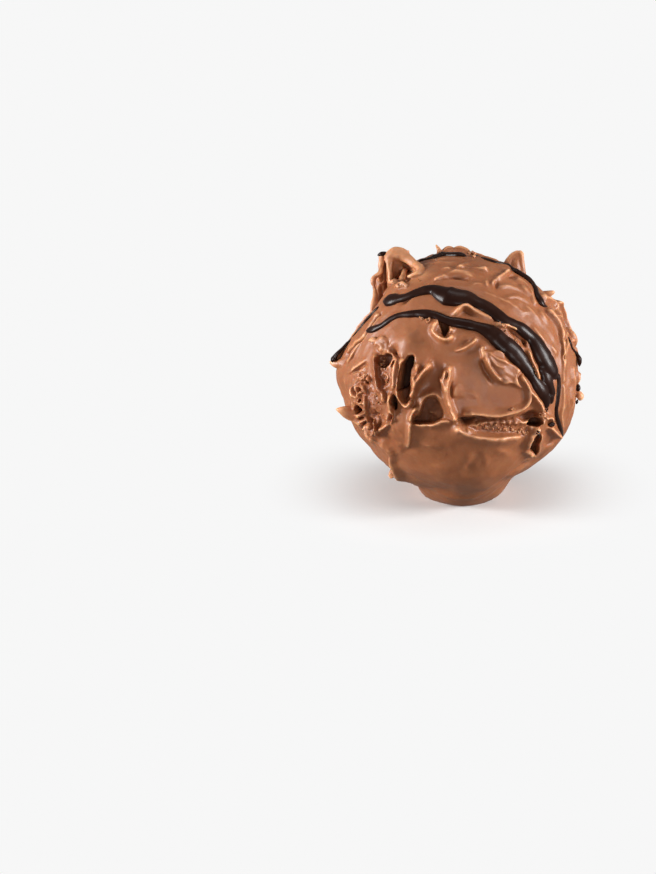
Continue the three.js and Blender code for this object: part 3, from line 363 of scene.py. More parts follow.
# A pit is sunk inside its outline, and tilt makes its floor slope. A groove is sunk along its path and
# has a raised rim. A negative depth raises a plate.
pits = [
    # the long deep one and the slits beside it
    pit([(-6.05, 1.75), (-5.4, 1.7), (-5.35, 0.8), (-5.6, 0), (-5.75, -1), (-5.8, -1.7), (-6.4, -2.1),
         (-7.05, -2.4), (-7.1, -1.2), (-6.95, -0.2), (-6.7, 0.6), (-6.3, 1.3)], 2.4, tilt=(0.15, 0)),
    pit([(-7, -1.8), (-5.8, -1.5), (-5.7, -2.6), (-5.95, -3.3), (-6.2, -3.9), (-6.5, -4.1), (-6.85, -3.8),
         (-7.05, -3)], 1.1, soft=0.4, tilt=(0, 0.35)),
    pit([(-7.75, -2.7), (-7.5, -2.9), (-7.3, -3.5), (-7.25, -4.1), (-7.4, -4.6), (-7.65, -4.4),
         (-7.85, -3.9), (-7.95, -3.3)], 2.2),
    # the trough with its round hole
    pit([(-9.5, 1.7), (-8.9, 2), (-8.1, 1.95), (-7.85, 1.5), (-8.05, 0.9), (-8.25, 0.45), (-8.7, 0.2),
         (-9.3, 0.5), (-9.65, 1.1)], 1.2, tilt=(0.3, 0)),
    pit([(-9.7, 0.7), (-9, 0.4), (-8.2, 0.5), (-8, -0.5), (-8.05, -1.3), (-8.4, -1.7), (-8.6, -2.2),
         (-9, -2), (-9.6, -1)], 0.3, soft=0.4),
    pit([(-8.9, -0.9), (-8.5, -1.2), (-8.1, -0.7), (-8.05, -1.3), (-8.5, -1.8), (-8.8, -1.6)],
         0.8, soft=0.3),
    pit([(-7.45, 1.3), (-7.4, 1), (-7.7, 0.4), (-7.95, 0.3), (-7.75, 0.9)], 1.2),
    # the arched hollow
    pit([(-3.4, -2.95), (-2.9, -3.15), (-2.4, -3.6), (-2, -4.3), (-1.85, -5), (-2, -5.55), (-2.6, -5.95),
         (-3.4, -6.2), (-5.2, -6.2), (-5.55, -5.9), (-5.45, -5.4), (-4.9, -5.1), (-4.65, -4.7),
         (-4.5, -4.2), (-4.25, -3.5), (-3.9, -3.05)], 1.15, soft=0.3, tilt=(-0.25, 0)),
    # the slot
    pit([(-0.45, -5.2), (0.5, -5.3), (2, -5.4), (3.5, -5.5), (5, -5.4), (6.2, -5.15), (7.2, -4.85),
         (8, -4.5), (8.8, -4.5), (8.9, -5.2), (8.4, -5.8), (7.4, -6.2), (6, -6.3), (4, -6.35), (2.5, -6.45),
         (1.2, -6.6), (0.5, -6.6), (0, -6.3), (-0.4, -5.9)], 0.5, soft=0.5, tilt=(-0.04, 0.2)),
    pit([(-0.45, -5.2), (1, -5.35), (3, -5.5), (1.6, -6.1), (0.4, -6.5), (-0.3, -6)], 1.1, soft=0.6),
    pit([(0.5, -6.4), (2, -6.1), (7.5, -6), (8.2, -6.8), (7.6, -7.5), (6, -7.6), (4, -7.65), (2.2, -7.5),
         (1.2, -7.1)], 0.65, soft=0.5),
    pit([(6.2, -5.35), (7, -5), (8, -4.55), (8.8, -4.6), (9, -5.3), (8.4, -5.8), (7.2, -6)], 1.2, soft=0.4),
    pit([(8.4, -5.5), (9, -5.4), (9.35, -5.75), (9.05, -6.35), (8.2, -6.45), (7.7, -6.3), (7.9, -5.95)],
         2.2),
    # the holes in the web on the left
    pit([(-12, -3.9), (-11.6, -4.1), (-11.15, -4.6), (-11.6, -5.05), (-12.15, -5), (-12.2, -4.4)], 2.6),
    pit([(-11.95, -5.65), (-11.5, -5.3), (-11, -5.35), (-11, -5.8), (-11.4, -5.9)], 2),
    pit([(-11.6, -6.05), (-11.2, -6.05), (-11.05, -6.5), (-11.4, -6.4)], 1.3),
    pit([(-11.5, -3.05), (-11.3, -3.35), (-11.35, -3.75), (-11.75, -3.75)], 2),
    pit([(-11.65, -1), (-11.2, -1.1), (-11.15, -1.45), (-11.5, -1.4)], 1.5),
    pit([(-10.8, -1), (-10.4, -1.4), (-10.6, -1.6), (-10.85, -1.3)], 1.3),
    pit([(-12.65, -2.1), (-12.35, -2.1), (-12.35, -2.75), (-12.7, -2.65)], 1.1),
    pit([(-11.2, -0.5), (-10.9, -0.4), (-10.85, -0.75), (-11.15, -0.75)], 0.7),
    pit([(-11.95, -1.6), (-11.75, -1.9), (-11.8, -2.4), (-12.05, -2.2)], 0.9),
    pit([(-11.6, -2.1), (-11.35, -2.3), (-11.5, -2.6), (-11.75, -2.4)], 0.7),
    pit([(-12.2, -3), (-11.95, -3.1), (-12, -3.5), (-12.25, -3.45)], 0.7),
    groove([(-11.3, -1.2), (-11.8, -2), (-12, -2.9)], 0.7, 0.4, rim=0),
    pit([(-12.75, 2.6), (-12.6, 2.4), (-12.8, 2.05), (-13, 2.1)], 0.7),
    pit([(-10.75, 1.15), (-10.6, 0.6), (-11.1, 0.3), (-12, -0.3), (-13.1, -0.6), (-12.6, -0.15),
         (-11.6, 0.6)], 0.7, soft=0.35),
    # under the lower strand and between the two
    pit([(-2.65, 6), (-2.4, 5), (-2.2, 4.4), (-2, 3.95), (-1.7, 3.85), (-1.5, 4.3), (-1.25, 4.6),
         (-1.3, 5.2), (-1.6, 5.8)], 1.2),
    pit([(5.2, 5), (6.2, 4.8), (7.1, 4), (7.6, 3.2), (7.75, 2.6), (7.2, 2.7), (6.4, 3.5), (5.6, 4.3)],
         0.5, soft=0.3),
    pit([(7, 3.9), (7.6, 3.4), (7.6, 2.9), (7.2, 3.2)], 1.1),
    # the corner at the lower right
    pit([(9.1, -7.4), (9.4, -7.6), (9.25, -8.2), (9.2, -8.8), (9.1, -9.3), (8.9, -9.9), (8.6, -9.5),
         (8.1, -9.15), (8.15, -8.7), (8.45, -8.2), (8.75, -7.8)], 2.2),
    pit([(9.75, -6.8), (10.4, -6.9), (11, -7.35), (11.6, -8), (10.8, -8.6), (9.9, -8.9), (9.5, -8.2),
         (9.6, -7.4)], 0.45, soft=0.3),
    pit([(10.2, -5.75), (10.8, -5.75), (10.95, -6.3), (10.5, -6.6), (10.15, -6.3)], 0.8),
    # below the hood
    pit([(-7.9, 12.2), (-6.5, 12.4), (-5.2, 11.6), (-5.5, 10.9), (-6.1, 10.3), (-7, 10.5), (-7.75, 10.5)],
         1.1),
    # raised plates
    pit([(2.5, 2.4), (3.3, 2.3), (4.4, 2.4), (5.1, 2.1), (5.3, 1.2), (6.2, 0.7), (6.9, 0), (6.6, -0.8),
         (7, -2.1), (5.8, -1.6), (4.9, -1.65), (4.1, -1.05), (3.4, 0), (2.8, 1.1)], -0.4, soft=0.25),
    pit([(-7.6, -4.8), (-6.5, -4.5), (-5.8, -5.2), (-5.5, -5.8), (-5.65, -7), (-5.8, -8.2), (-6.1, -9.3),
         (-7, -9.8), (-8.2, -8.6), (-8.6, -6.5), (-8.2, -5.4)], -0.4, soft=1),
    groove([(-0.8, 2.6), (-0.5, 1.4), (-0.2, 0.6)], 0.5, 1.7, turn=135, rim=0.2),
    pit([(2.2, -6), (3.4, -5.8), (4.8, -6), (4.4, -6.8), (3.2, -6.6), (2.4, -6.9)], 1.3, turn=135),
    groove([(-0.4, 2), (-0.1, 0.8), (0.2, -0.6)], 0.6, 2, turn=180, rim=0.2),
    pit([(0.4, -4.2), (1.6, -4.5), (3, -4.2), (4.2, -4.4), (3.8, -5.2), (2, -5.5), (0.8, -5.2)],
         1.4, turn=180),
    pit([(-1.3, 3), (-0.5, 2.8), (-0.3, 1.4), (-0.6, 0.2), (-1.2, 0.5), (-1.5, 1.8)], 1.7, turn=222),
    pit([(-1.8, -4), (-0.4, -4.1), (1.2, -4.3), (0.8, -5), (-0.6, -5.2), (-1.6, -4.9)], 1.2, turn=222),
]

# A swell raises, or where negative sinks, a soft round part.
swells = [
    swell((-11.5, 7.7), -1.9, 4.5),
    swell((1.2, -12.4), 1, 4.8),
    swell((-5.8, -12.4), 0.45, 2.8),
    swell((3.4, 13.4), -0.6, 2.6),
    swell((11.6, 7.7), 0.65, 1.8),
    swell((-7, -6.9), 0.3, 1.2),
    swell((-10, -4), 0.3, 1.4),
    swell((13.5, 5), -0.3, 3),
    swell((-13.8, 0.2), 0.5, 3),
    swell((-13.3, -2.9), -0.65, 1.8),
    swell((-11.2, -7.8), -0.5, 2.2),
    swell((12, -7.5), 0.5, 3),
    swell((3.5, -2.2), -0.45, 3),
    swell((-3.5, -1.8), -0.5, 1.4),
    swell((-6.1, 3.3), 0.65, 1.7),
    swell((-7.6, 2.4), -0.5, 0.5),
    swell((1, -11.2), -0.2, 0.8),
    swell((9.7, -5.4), 0.5, 0.6),
    swell((-10, -7.7), 0.6, 0.5),
    swell((4, 4), -0.5, 3.4, turn=90),
    swell((-6, -1), -0.6, 3.2, turn=180),
    swell((5, -1), -0.5, 3.2, turn=180),
    swell((-5, -2), -0.5, 3.2, turn=270),
]

# Rough, crumbly patches: how wide, how deep and at what size.
roughPatches = [
    patch([(1, -6), (4.5, -6), (7.2, -5.8)], 0.8, 0.24, 0.35),
    patch([(1.5, -6.8), (3.5, -6.9), (7.4, -6.9)], 0.7, 0.12, 0.25),
    patch([(-9, 1.8), (-8.8, -1.8)], 0.9, 0.3, 0.4),
    patch([(-11.3, -0.6), (-12.2, -3.4)], 0.9, 0.35, 0.4),
    patch([(-10, -2.4), (-9.5, -6.4)], 1, 0.24, 0.32),
    patch([(-6.8, -5), (-7, -8.6)], 0.9, 0.1, 0.6),
    patch([(-2.4, 14.1), (1.4, 13.8)], 0.8, 0.25, 0.5),
    patch([(9.6, -5.2), (8.6, -7.4)], 0.7, 0.2, 0.4),
    patch([(3.8, 5.6), (6.6, 4.6)], 0.5, 0.2, 0.4),
    patch([(-9.9, 3.5), (-8.4, 2.8)], 0.8, 0.2, 0.35),
    patch([(-3.3, -3.8), (-3.4, -5.6)], 1, 0.22, 0.5),
]

# Painted shade: patches darkened towards the warm shade colour where the surface lies in shade; negative
# where it's paler.
shadePatches = [
    patch([(-10.6, -1.6), (-10.1, -3.4), (-9.6, -5.2), (-9.6, -6.6)], 1.1, 0.8),
    patch([(-9.4, 1), (-8.8, -2)], 0.8, 1.1),
    patch([(-3.2, -2), (-2.6, 0.4), (-3, 1.6)], 0.9, 0.3),
    patch([(9, -8.4), (11.6, -7.4)], 1.5, 0.35),
    patch([(7, -5.2), (8.8, -5.2)], 0.6, 0.9),
    patch([(1.5, -6.2), (6.5, -6.2)], 0.7, 0.45),
    patch([(4, -3.4), (6.6, -3)], 1.3, 0.35),
    patch([(-8.2, -7.2), (-7.6, -8.6)], 1.2, 0.3),
    patch([(-7, 12), (-6, 12), (-4.6, 11)], 1.1, -0.22),  # paler on the hood, towards the rim highlight colour
    patch([(-9.8, 9), (-9.6, 10.6), (-9, 12.6)], 0.8, 0.5),
]

# Unevenness is given in layers: how much, at what size in millimetres, with what seed.
relief = dict(
    lumps=[(0.16, 5, 20)],
    waves=[(0.12, 2.2, 21), (0.06, 0.9, 22)],
    grain=[(0.03, 0.42, 23)],
    grained=[(1, 2.6, 24)],  # where the grain shows
)


def addSwells(spots, marks):
    total = np.zeros(len(spots))
    for mark in marks:
        middle = onBall([mark["at"]], mark["turn"])
        total += mark["height"] * np.exp(-((spots - middle) ** 2).sum(1) / mark["width"] ** 2)
    return total


def baseRadius(spots):
    return ball["radius"] + addSwells(spots, swells) + layered(spots, relief["lumps"])


def reachOf(line, spots, margin):  # the spots near a line
    middle = line.mean(axis=0)
    far = np.linalg.norm(line - middle, axis=1).max() + margin
    return np.nonzero(((spots - middle) ** 2).sum(1) < far**2)[0]


def pushed(cubed, aimed):  # heights that were joined cubed, along the ways that they were aimed
    return np.cbrt(cubed)[:, None] * aimed / np.abs(cubed).clip(1e-9)[:, None]


ridgeShape = dict(
    gain=1.25,  # makes up for the height that the smoothing takes off
    rise=1.1,  # how high its line is taken to lie, of its height
    spread=0.11,  # added to its width on both sides
    square=2.5,  # how flat its top and how steep its sides are
    skirt=0.3,  # where its mark says nothing
    creaseSkirt=0.08,
    skirtReach=(0.25, 1.2),  # in millimetres, and of the width
    taper=(0.5, 0.8),  # of the ends, in millimetres and of the width
    blunt=0.25,  # height of the very ends
    edge=(11.8, 13.4),  # from here on it goes outward, so that it shows on the outline
    stubborn=0.7,  # unless its share towards the side is as large as this
    uneven=[(0.22, 1.3, 5), (0.14, 0.45, 6)],
    wander=0.07,  # how far its line strays, and at what size
    wanderSize=1.1,
)


def towards(mark, spots):  # how much of a mark's height goes straight towards its side, the rest outward
    across = unit(spots) @ sideAxes(mark["turn"]).T * ball["radius"]
    edge = smoothStep(np.hypot(across[:, 0], across[:, 1]), *ridgeShape["edge"])
    return mark["towards"] * (1 - edge * (mark["towards"] < ridgeShape["stubborn"]))


def ridgeLine(mark):
    scale = np.array([p[2] if len(p) > 2 else 1 for p in mark["path"]])
    top = ridgeShape["rise"] * mark["height"] * scale
    spots = onBall(mark["path"], mark["turn"],
                   lambda spots: baseRadius(spots) + top * (1 - towards(mark, spots)))
    line = smoothLine(np.column_stack([spots, scale]), 0.25)
    wander = np.column_stack([noise(line[:, :3], ridgeShape["wanderSize"], seed) for seed in (1, 2, 3)])
    return unit(line[:, :3] + ridgeShape["wander"] * wander) * ball["radius"], line[:, 3]


def raiseRidges(spots, marks):
    cubed = np.zeros(len(spots))
    aimed = np.zeros((len(spots), 3))
    creased = np.zeros(len(spots))
    shift = np.zeros((len(spots), 3))
    uneven = layered(spots, ridgeShape["uneven"], start=1)
    for mark in marks:
        line, scale = ridgeLine(mark)
        viewer = sideAxes(mark["turn"])[2]
        left, right = mark["left"] + ridgeShape["spread"], mark["right"] + ridgeShape["spread"]
        skirt = mark["skirt"] or ridgeShape["skirt" if mark["height"] > 0 else "creaseSkirt"]
        near = reachOf(line, spots, 1.5 + 6 * max(left, right))
        aside, along, leftward = nearestOn(line, spots[near])
        slant = 1 - (leftward @ viewer) ** 2  # widths are as seen from the side
        wide = np.where(aside > 0, left, right) / np.sqrt(slant.clip(0.16))
        aside = np.abs(aside)
        least, more = ridgeShape["skirtReach"]
        fall = (1 - skirt) * np.exp(-((aside / wide) ** ridgeShape["square"]))
        fall = fall + skirt * np.exp(-aside / (least + more * wide))
        ends = 0.3 * np.minimum(along, len(line) - 1 - along)
        least, more = ridgeShape["taper"]
        blunt = ridgeShape["blunt"]
        high = ridgeShape["gain"] * mark["height"] * np.interp(along, np.arange(len(line)), scale)
        tapered = blunt + (1 - blunt) * smoothStep(ends, 0, least + more * max(left, right))
        high = high * uneven[near] * tapered
        if mark["height"] < 0:
            creased[near] = np.minimum(creased[near], high * fall)
            continue
        share = towards(mark, spots[near])[:, None]
        part = (high * fall) ** 3
        cubed[near] += part
        aimed[near] += part[:, None] * (share * viewer + (1 - share) * unit(spots[near]))
        shift[near] += leftward * (mark["lean"] * high * fall**2)[:, None]
    return pushed(cubed, aimed) + creased[:, None] * unit(spots) + shift


def insideOf(outline, seen):  # how far inside a closed outline, negative outside
    edge = smoothLine(np.array([*outline, outline[0]], float), 0.12)
    best = np.full(len(seen), np.inf)
    inside = np.zeros(len(seen), bool)
    x, y = seen[:, 0], seen[:, 1]
    for (x0, y0), (x1, y1) in zip(edge[:-1], edge[1:]):
        dx, dy = x1 - x0, y1 - y0
        t = np.clip(((x - x0) * dx + (y - y0) * dy) / (dx * dx + dy * dy + 1e-12), 0, 1)
        best = np.minimum(best, (x - x0 - t * dx) ** 2 + (y - y0 - t * dy) ** 2)
        if y0 != y1:
            inside ^= ((y0 > y) != (y1 > y)) & (x < dx * (y - y0) / dy + x0)
    return np.where(inside, 1, -1) * np.sqrt(best)


pitShape = dict(
    ragged=[(1, 0.8, 8), (0.5, 0.35, 9)],
    stray=0.05,  # how far a ragged outline strays
    grooveStray=0.14,  # the same for a groove, of its radius
    lip=0.04,  # how far outside the outline the wall begins
    aim=(0.8, 0.2),  # shares of the depth that go straight away from the viewer and inward
    plateAim=(0.6, 0.4),
    wall=(0.75, 1.12),  # where a groove's wall ends and begins, of its radius
    rimWidth=0.17,
)


def sinkPits(spots, base, marks):
    cubed = np.zeros(len(spots))
    rims = np.zeros(len(spots))
    inward = np.zeros((len(spots), 3))
    plates = np.zeros((len(spots), 3))
    ragged = layered(spots, pitShape["ragged"])
    for mark in marks:
        axes = sideAxes(mark["turn"])
        if "outline" in mark:
            outline = np.array(mark["outline"], float)
            middle = outline.mean(axis=0)
            size = np.hypot(*(outline - middle).T).max()
            near = reachOf(onBall([middle], mark["turn"], baseRadius), spots, 2.4 * size + 1.5)
            seen = unit(spots[near]) * base[near, None] @ axes.T
            within = insideOf(mark["outline"], seen[:, :2]) + pitShape["stray"] * ragged[near]
            share = smoothStep(within, -pitShape["lip"], mark["soft"])
            share *= 1 + (seen[:, :2] - middle) @ np.array(mark["tilt"])
            if mark["depth"] < 0:
                straight, inside = pitShape["plateAim"]
                aim = straight * axes[2] + inside * unit(spots[near])
                plates[near] -= mark["depth"] * share[:, None] * aim
                continue
            deep = (mark["depth"] * share.clip(0)) ** 3
        else:
            line = smoothLine(onBall(mark["path"], mark["turn"], baseRadius), 0.25)
            radius = mark["radius"]
            near = reachOf(line, spots, 1.5 * radius + 0.8)
            away = np.abs(nearestOn(line, spots[near])[0])
            away = away + pitShape["grooveStray"] * min(radius, 0.8) * ragged[near]
            foot, top = pitShape["wall"]
            deep = (mark["depth"] * (1 - smoothStep(away, foot * radius, top * radius + 0.05))) ** 3
            rim = mark["rim"] * np.exp(-(((away - top * radius - 0.18) / pitShape["rimWidth"]) ** 2))
            rims[near] = np.maximum(rims[near], rim)
        cubed[near] += deep
        straight, inside = pitShape["aim"]
        inward[near] -= deep[:, None] * (straight * axes[2] + inside * unit(spots[near]))
    return pushed(cubed, inward) + rims[:, None] * unit(spots) + plates


def patchShare(mark, spots):  # the spots near a patch and how far each belongs to it
    line = smoothLine(onBall(mark["path"], mark["turn"]), 0.4)
    near = reachOf(line, spots, 2.5 * mark["width"])
    return near, np.exp(-((nearestOn(line, spots[near])[0] / mark["width"]) ** 2))


def addRoughness(spots, marks):
    total = np.zeros(len(spots))
    for mark in marks:
        near, share = patchShare(mark, spots)
        grain = layered(spots[near], [(1, mark["size"], 11), (0.5, 0.5 * mark["size"], 12)])
        total[near] += mark["depth"] * grain * share
    return total


def paintedShadeOf(spots):
    total = np.zeros(len(spots))
    for mark in shadePatches:
        near, share = patchShare(mark, spots)
        total[near] += mark["depth"] * share
    return total


# Smaller smears and pulls all over the sides and the back, from the least to the most of each.
stray = dict(
    turn=(40, 320),
    right=(-8, 8),
    above=(-11, 11),
    within=12.6,  # of the middle, as seen from its side
    facing=0.1,  # none that faces the front more than this
    sideways=0.6,  # share that runs more or less level, the rest any way
    mostlyLow=0.7,  # share that is low, the rest high
    shows=(0.16, 0.7),  # height that may show on the outline, and how much of what lies behind it
    pitted=0.2,  # share with a pit beside it
    length=(1, 5),
    bend=(-0.3, 0.3),
    low=(0.2, 0.55),
    high=(0.6, 1.1),
    steep=(0.02, 0.12),
    gentle=(0.1, 0.8),
    fade=(0.4, 1),
    lean=(-0.4, 0.4),
    pitDepth=(0.4, 1.7),
    pitSoft=(0.15, 0.4),
    pitRadius=(0.3, 0.9),
    pitStretch=1.5,
    pitCorners=8,
    pitAside=0.6,
    bare=((-11, 7), 4.5),  # none around this place on the front's outline
)


def strayMarks(count, rng):
    def some(name):
        return rng.uniform(*stray[name])

    newRidges, newPits = [], []
    while len(newRidges) < count:
        turn = some("turn")
        at = np.array([some("right"), some("above")])
        heading = rng.normal(0, 0.9) if rng.random() < stray["sideways"] else rng.uniform(0, math.tau)
        length, bend = some("length"), some("bend")
        steps = np.linspace(-0.5, 0.5, 5)
        angle = heading + bend * steps * length
        path = at + np.column_stack([np.cos(angle), np.sin(angle)]) * (steps * length)[:, None]
        if np.hypot(*path.T).max() > stray["within"]:
            continue
        seen = unit(onBall(path, turn)) @ sideAxes(0).T
        facing = seen[:, 2].max()
        bare, apart = stray["bare"]
        if facing > stray["facing"] or np.hypot(*(seen[:, :2] * ball["radius"] - bare).T).min() < apart:
            continue
        # how high a mark may be before it shows on the front's outline
        hidden = ball["radius"] * (1 / math.sqrt(1 - min(facing, 0) ** 2) - 1)
        least, more = stray["shows"]
        high = some("low") if rng.random() < stray["mostlyLow"] else some("high")
        high = min(high, least + more * hidden)
        steep, gentle = some("steep"), some("gentle")
        left, right = (steep, gentle) if rng.random() < 0.5 else (gentle, steep)
        scaled = np.column_stack([path, rng.uniform(*stray["fade"], len(path))])
        newRidges.append(ridge(scaled, high, left, right, turn=turn, towards=0.15, lean=some("lean")))
        if rng.random() < stray["pitted"] and hidden > 0.25:
            angles = np.sort(rng.uniform(0, math.tau, stray["pitCorners"]))
            ring = np.column_stack([stray["pitStretch"] * np.cos(angles), np.sin(angles)])
            ring = ring * rng.uniform(*stray["pitRadius"], (len(ring), 1))
            c, s = math.cos(heading), math.sin(heading)
            turned = (ring * rng.uniform(0.5, 1)) @ np.array([[c, s], [-s, c]])
            outline = at + turned + (stray["pitAside"] * s, -stray["pitAside"] * c)
            newPits.append(pit(outline, some("pitDepth"), turn=turn, soft=some("pitSoft")))
    return newRidges, newPits


# Faint lines, drawn along the way the fork went over the crown.
comb = dict(
    axis=(-1.5, -4),  # they run round this place
    begin=(0.75, 1),  # this far from it, in radians
    height=0.09,
    lines=[(1, 0.55, 7, 30), (1.2, 1.4, 6, 31)],  # how much, how far apart, how straight, seed
)


def combed(spots):
    axis = unit(onBall([comb["axis"]]))[0]
    lower = np.arccos(np.clip(unit(spots) @ axis, -1, 1))
    across = lower * ball["radius"]
    lines = np.zeros(len(spots))
    for much, apart, run, seed in comb["lines"]:
        bands = np.column_stack([spots[:, 0] / run, spots[:, 2] / run, across / apart])
        lines += much * noise(bands, 1, seed)
    return comb["height"] * lines * smoothStep(lower, *comb["begin"])


# The foot, where the coat spread on the table before it set.
foot = dict(
    radius=4.25,
    fillet=11,  # degrees over which it runs into the ball
    ahead=0.75,  # how much further it spread towards the front
    aheadTurn=0.45,  # how many radians off the front that is
    aheadFillet=1.1,  # how much softer it is there
)


def footShape(out):  # how far each way out belongs to the foot, and how far it is to the table there
    around = np.arctan2(out[:, 1], out[:, 0])
    ahead = np.clip(np.cos(around + math.pi / 2 - foot["aheadTurn"]), 0, 1) ** 3
    wobble = 0.1 * np.cos(around) + 0.12 * np.sin(3 * around + 2.5) + 0.1 * np.sin(7 * around)
    wobble = wobble + foot["ahead"] * ahead
    edge = np.arctan2(foot["radius"] + wobble, ball["height"])
    softness = 1 + 0.25 * np.sin(around * 2 - 1) + foot["aheadFillet"] * ahead
    fillet = math.radians(foot["fillet"]) * softness
    share = 1 - smoothStep(np.arccos(np.clip(-out[:, 2], -1, 1)), edge, edge + fillet)
    return share, ball["height"] / np.cos(edge)


def coatSurface(spots):
    rng = np.random.default_rng(ball["seed"])
    moreRidges, morePits = strayMarks(ball["strayMarks"], rng)
    radius = baseRadius(spots)
    marked = raiseRidges(spots, ridges + moreRidges) + sinkPits(spots, radius, pits + morePits)
    radius += addRoughness(spots, roughPatches)
    radius += layered(spots, relief["waves"]) + combed(spots)
    radius += layered(spots, relief["grain"]) * smoothStep(layered(spots, relief["grained"]), -0.2, 0.6)
    out = unit(spots)
    share, reach = footShape(out)
    radius += (reach - ball["radius"]) * share
    place = out * radius[:, None] + marked * (1 - share)[:, None] + centre
    place[:, 2] = np.where(share > 0.999, 0, np.maximum(place[:, 2], 0))
    return place


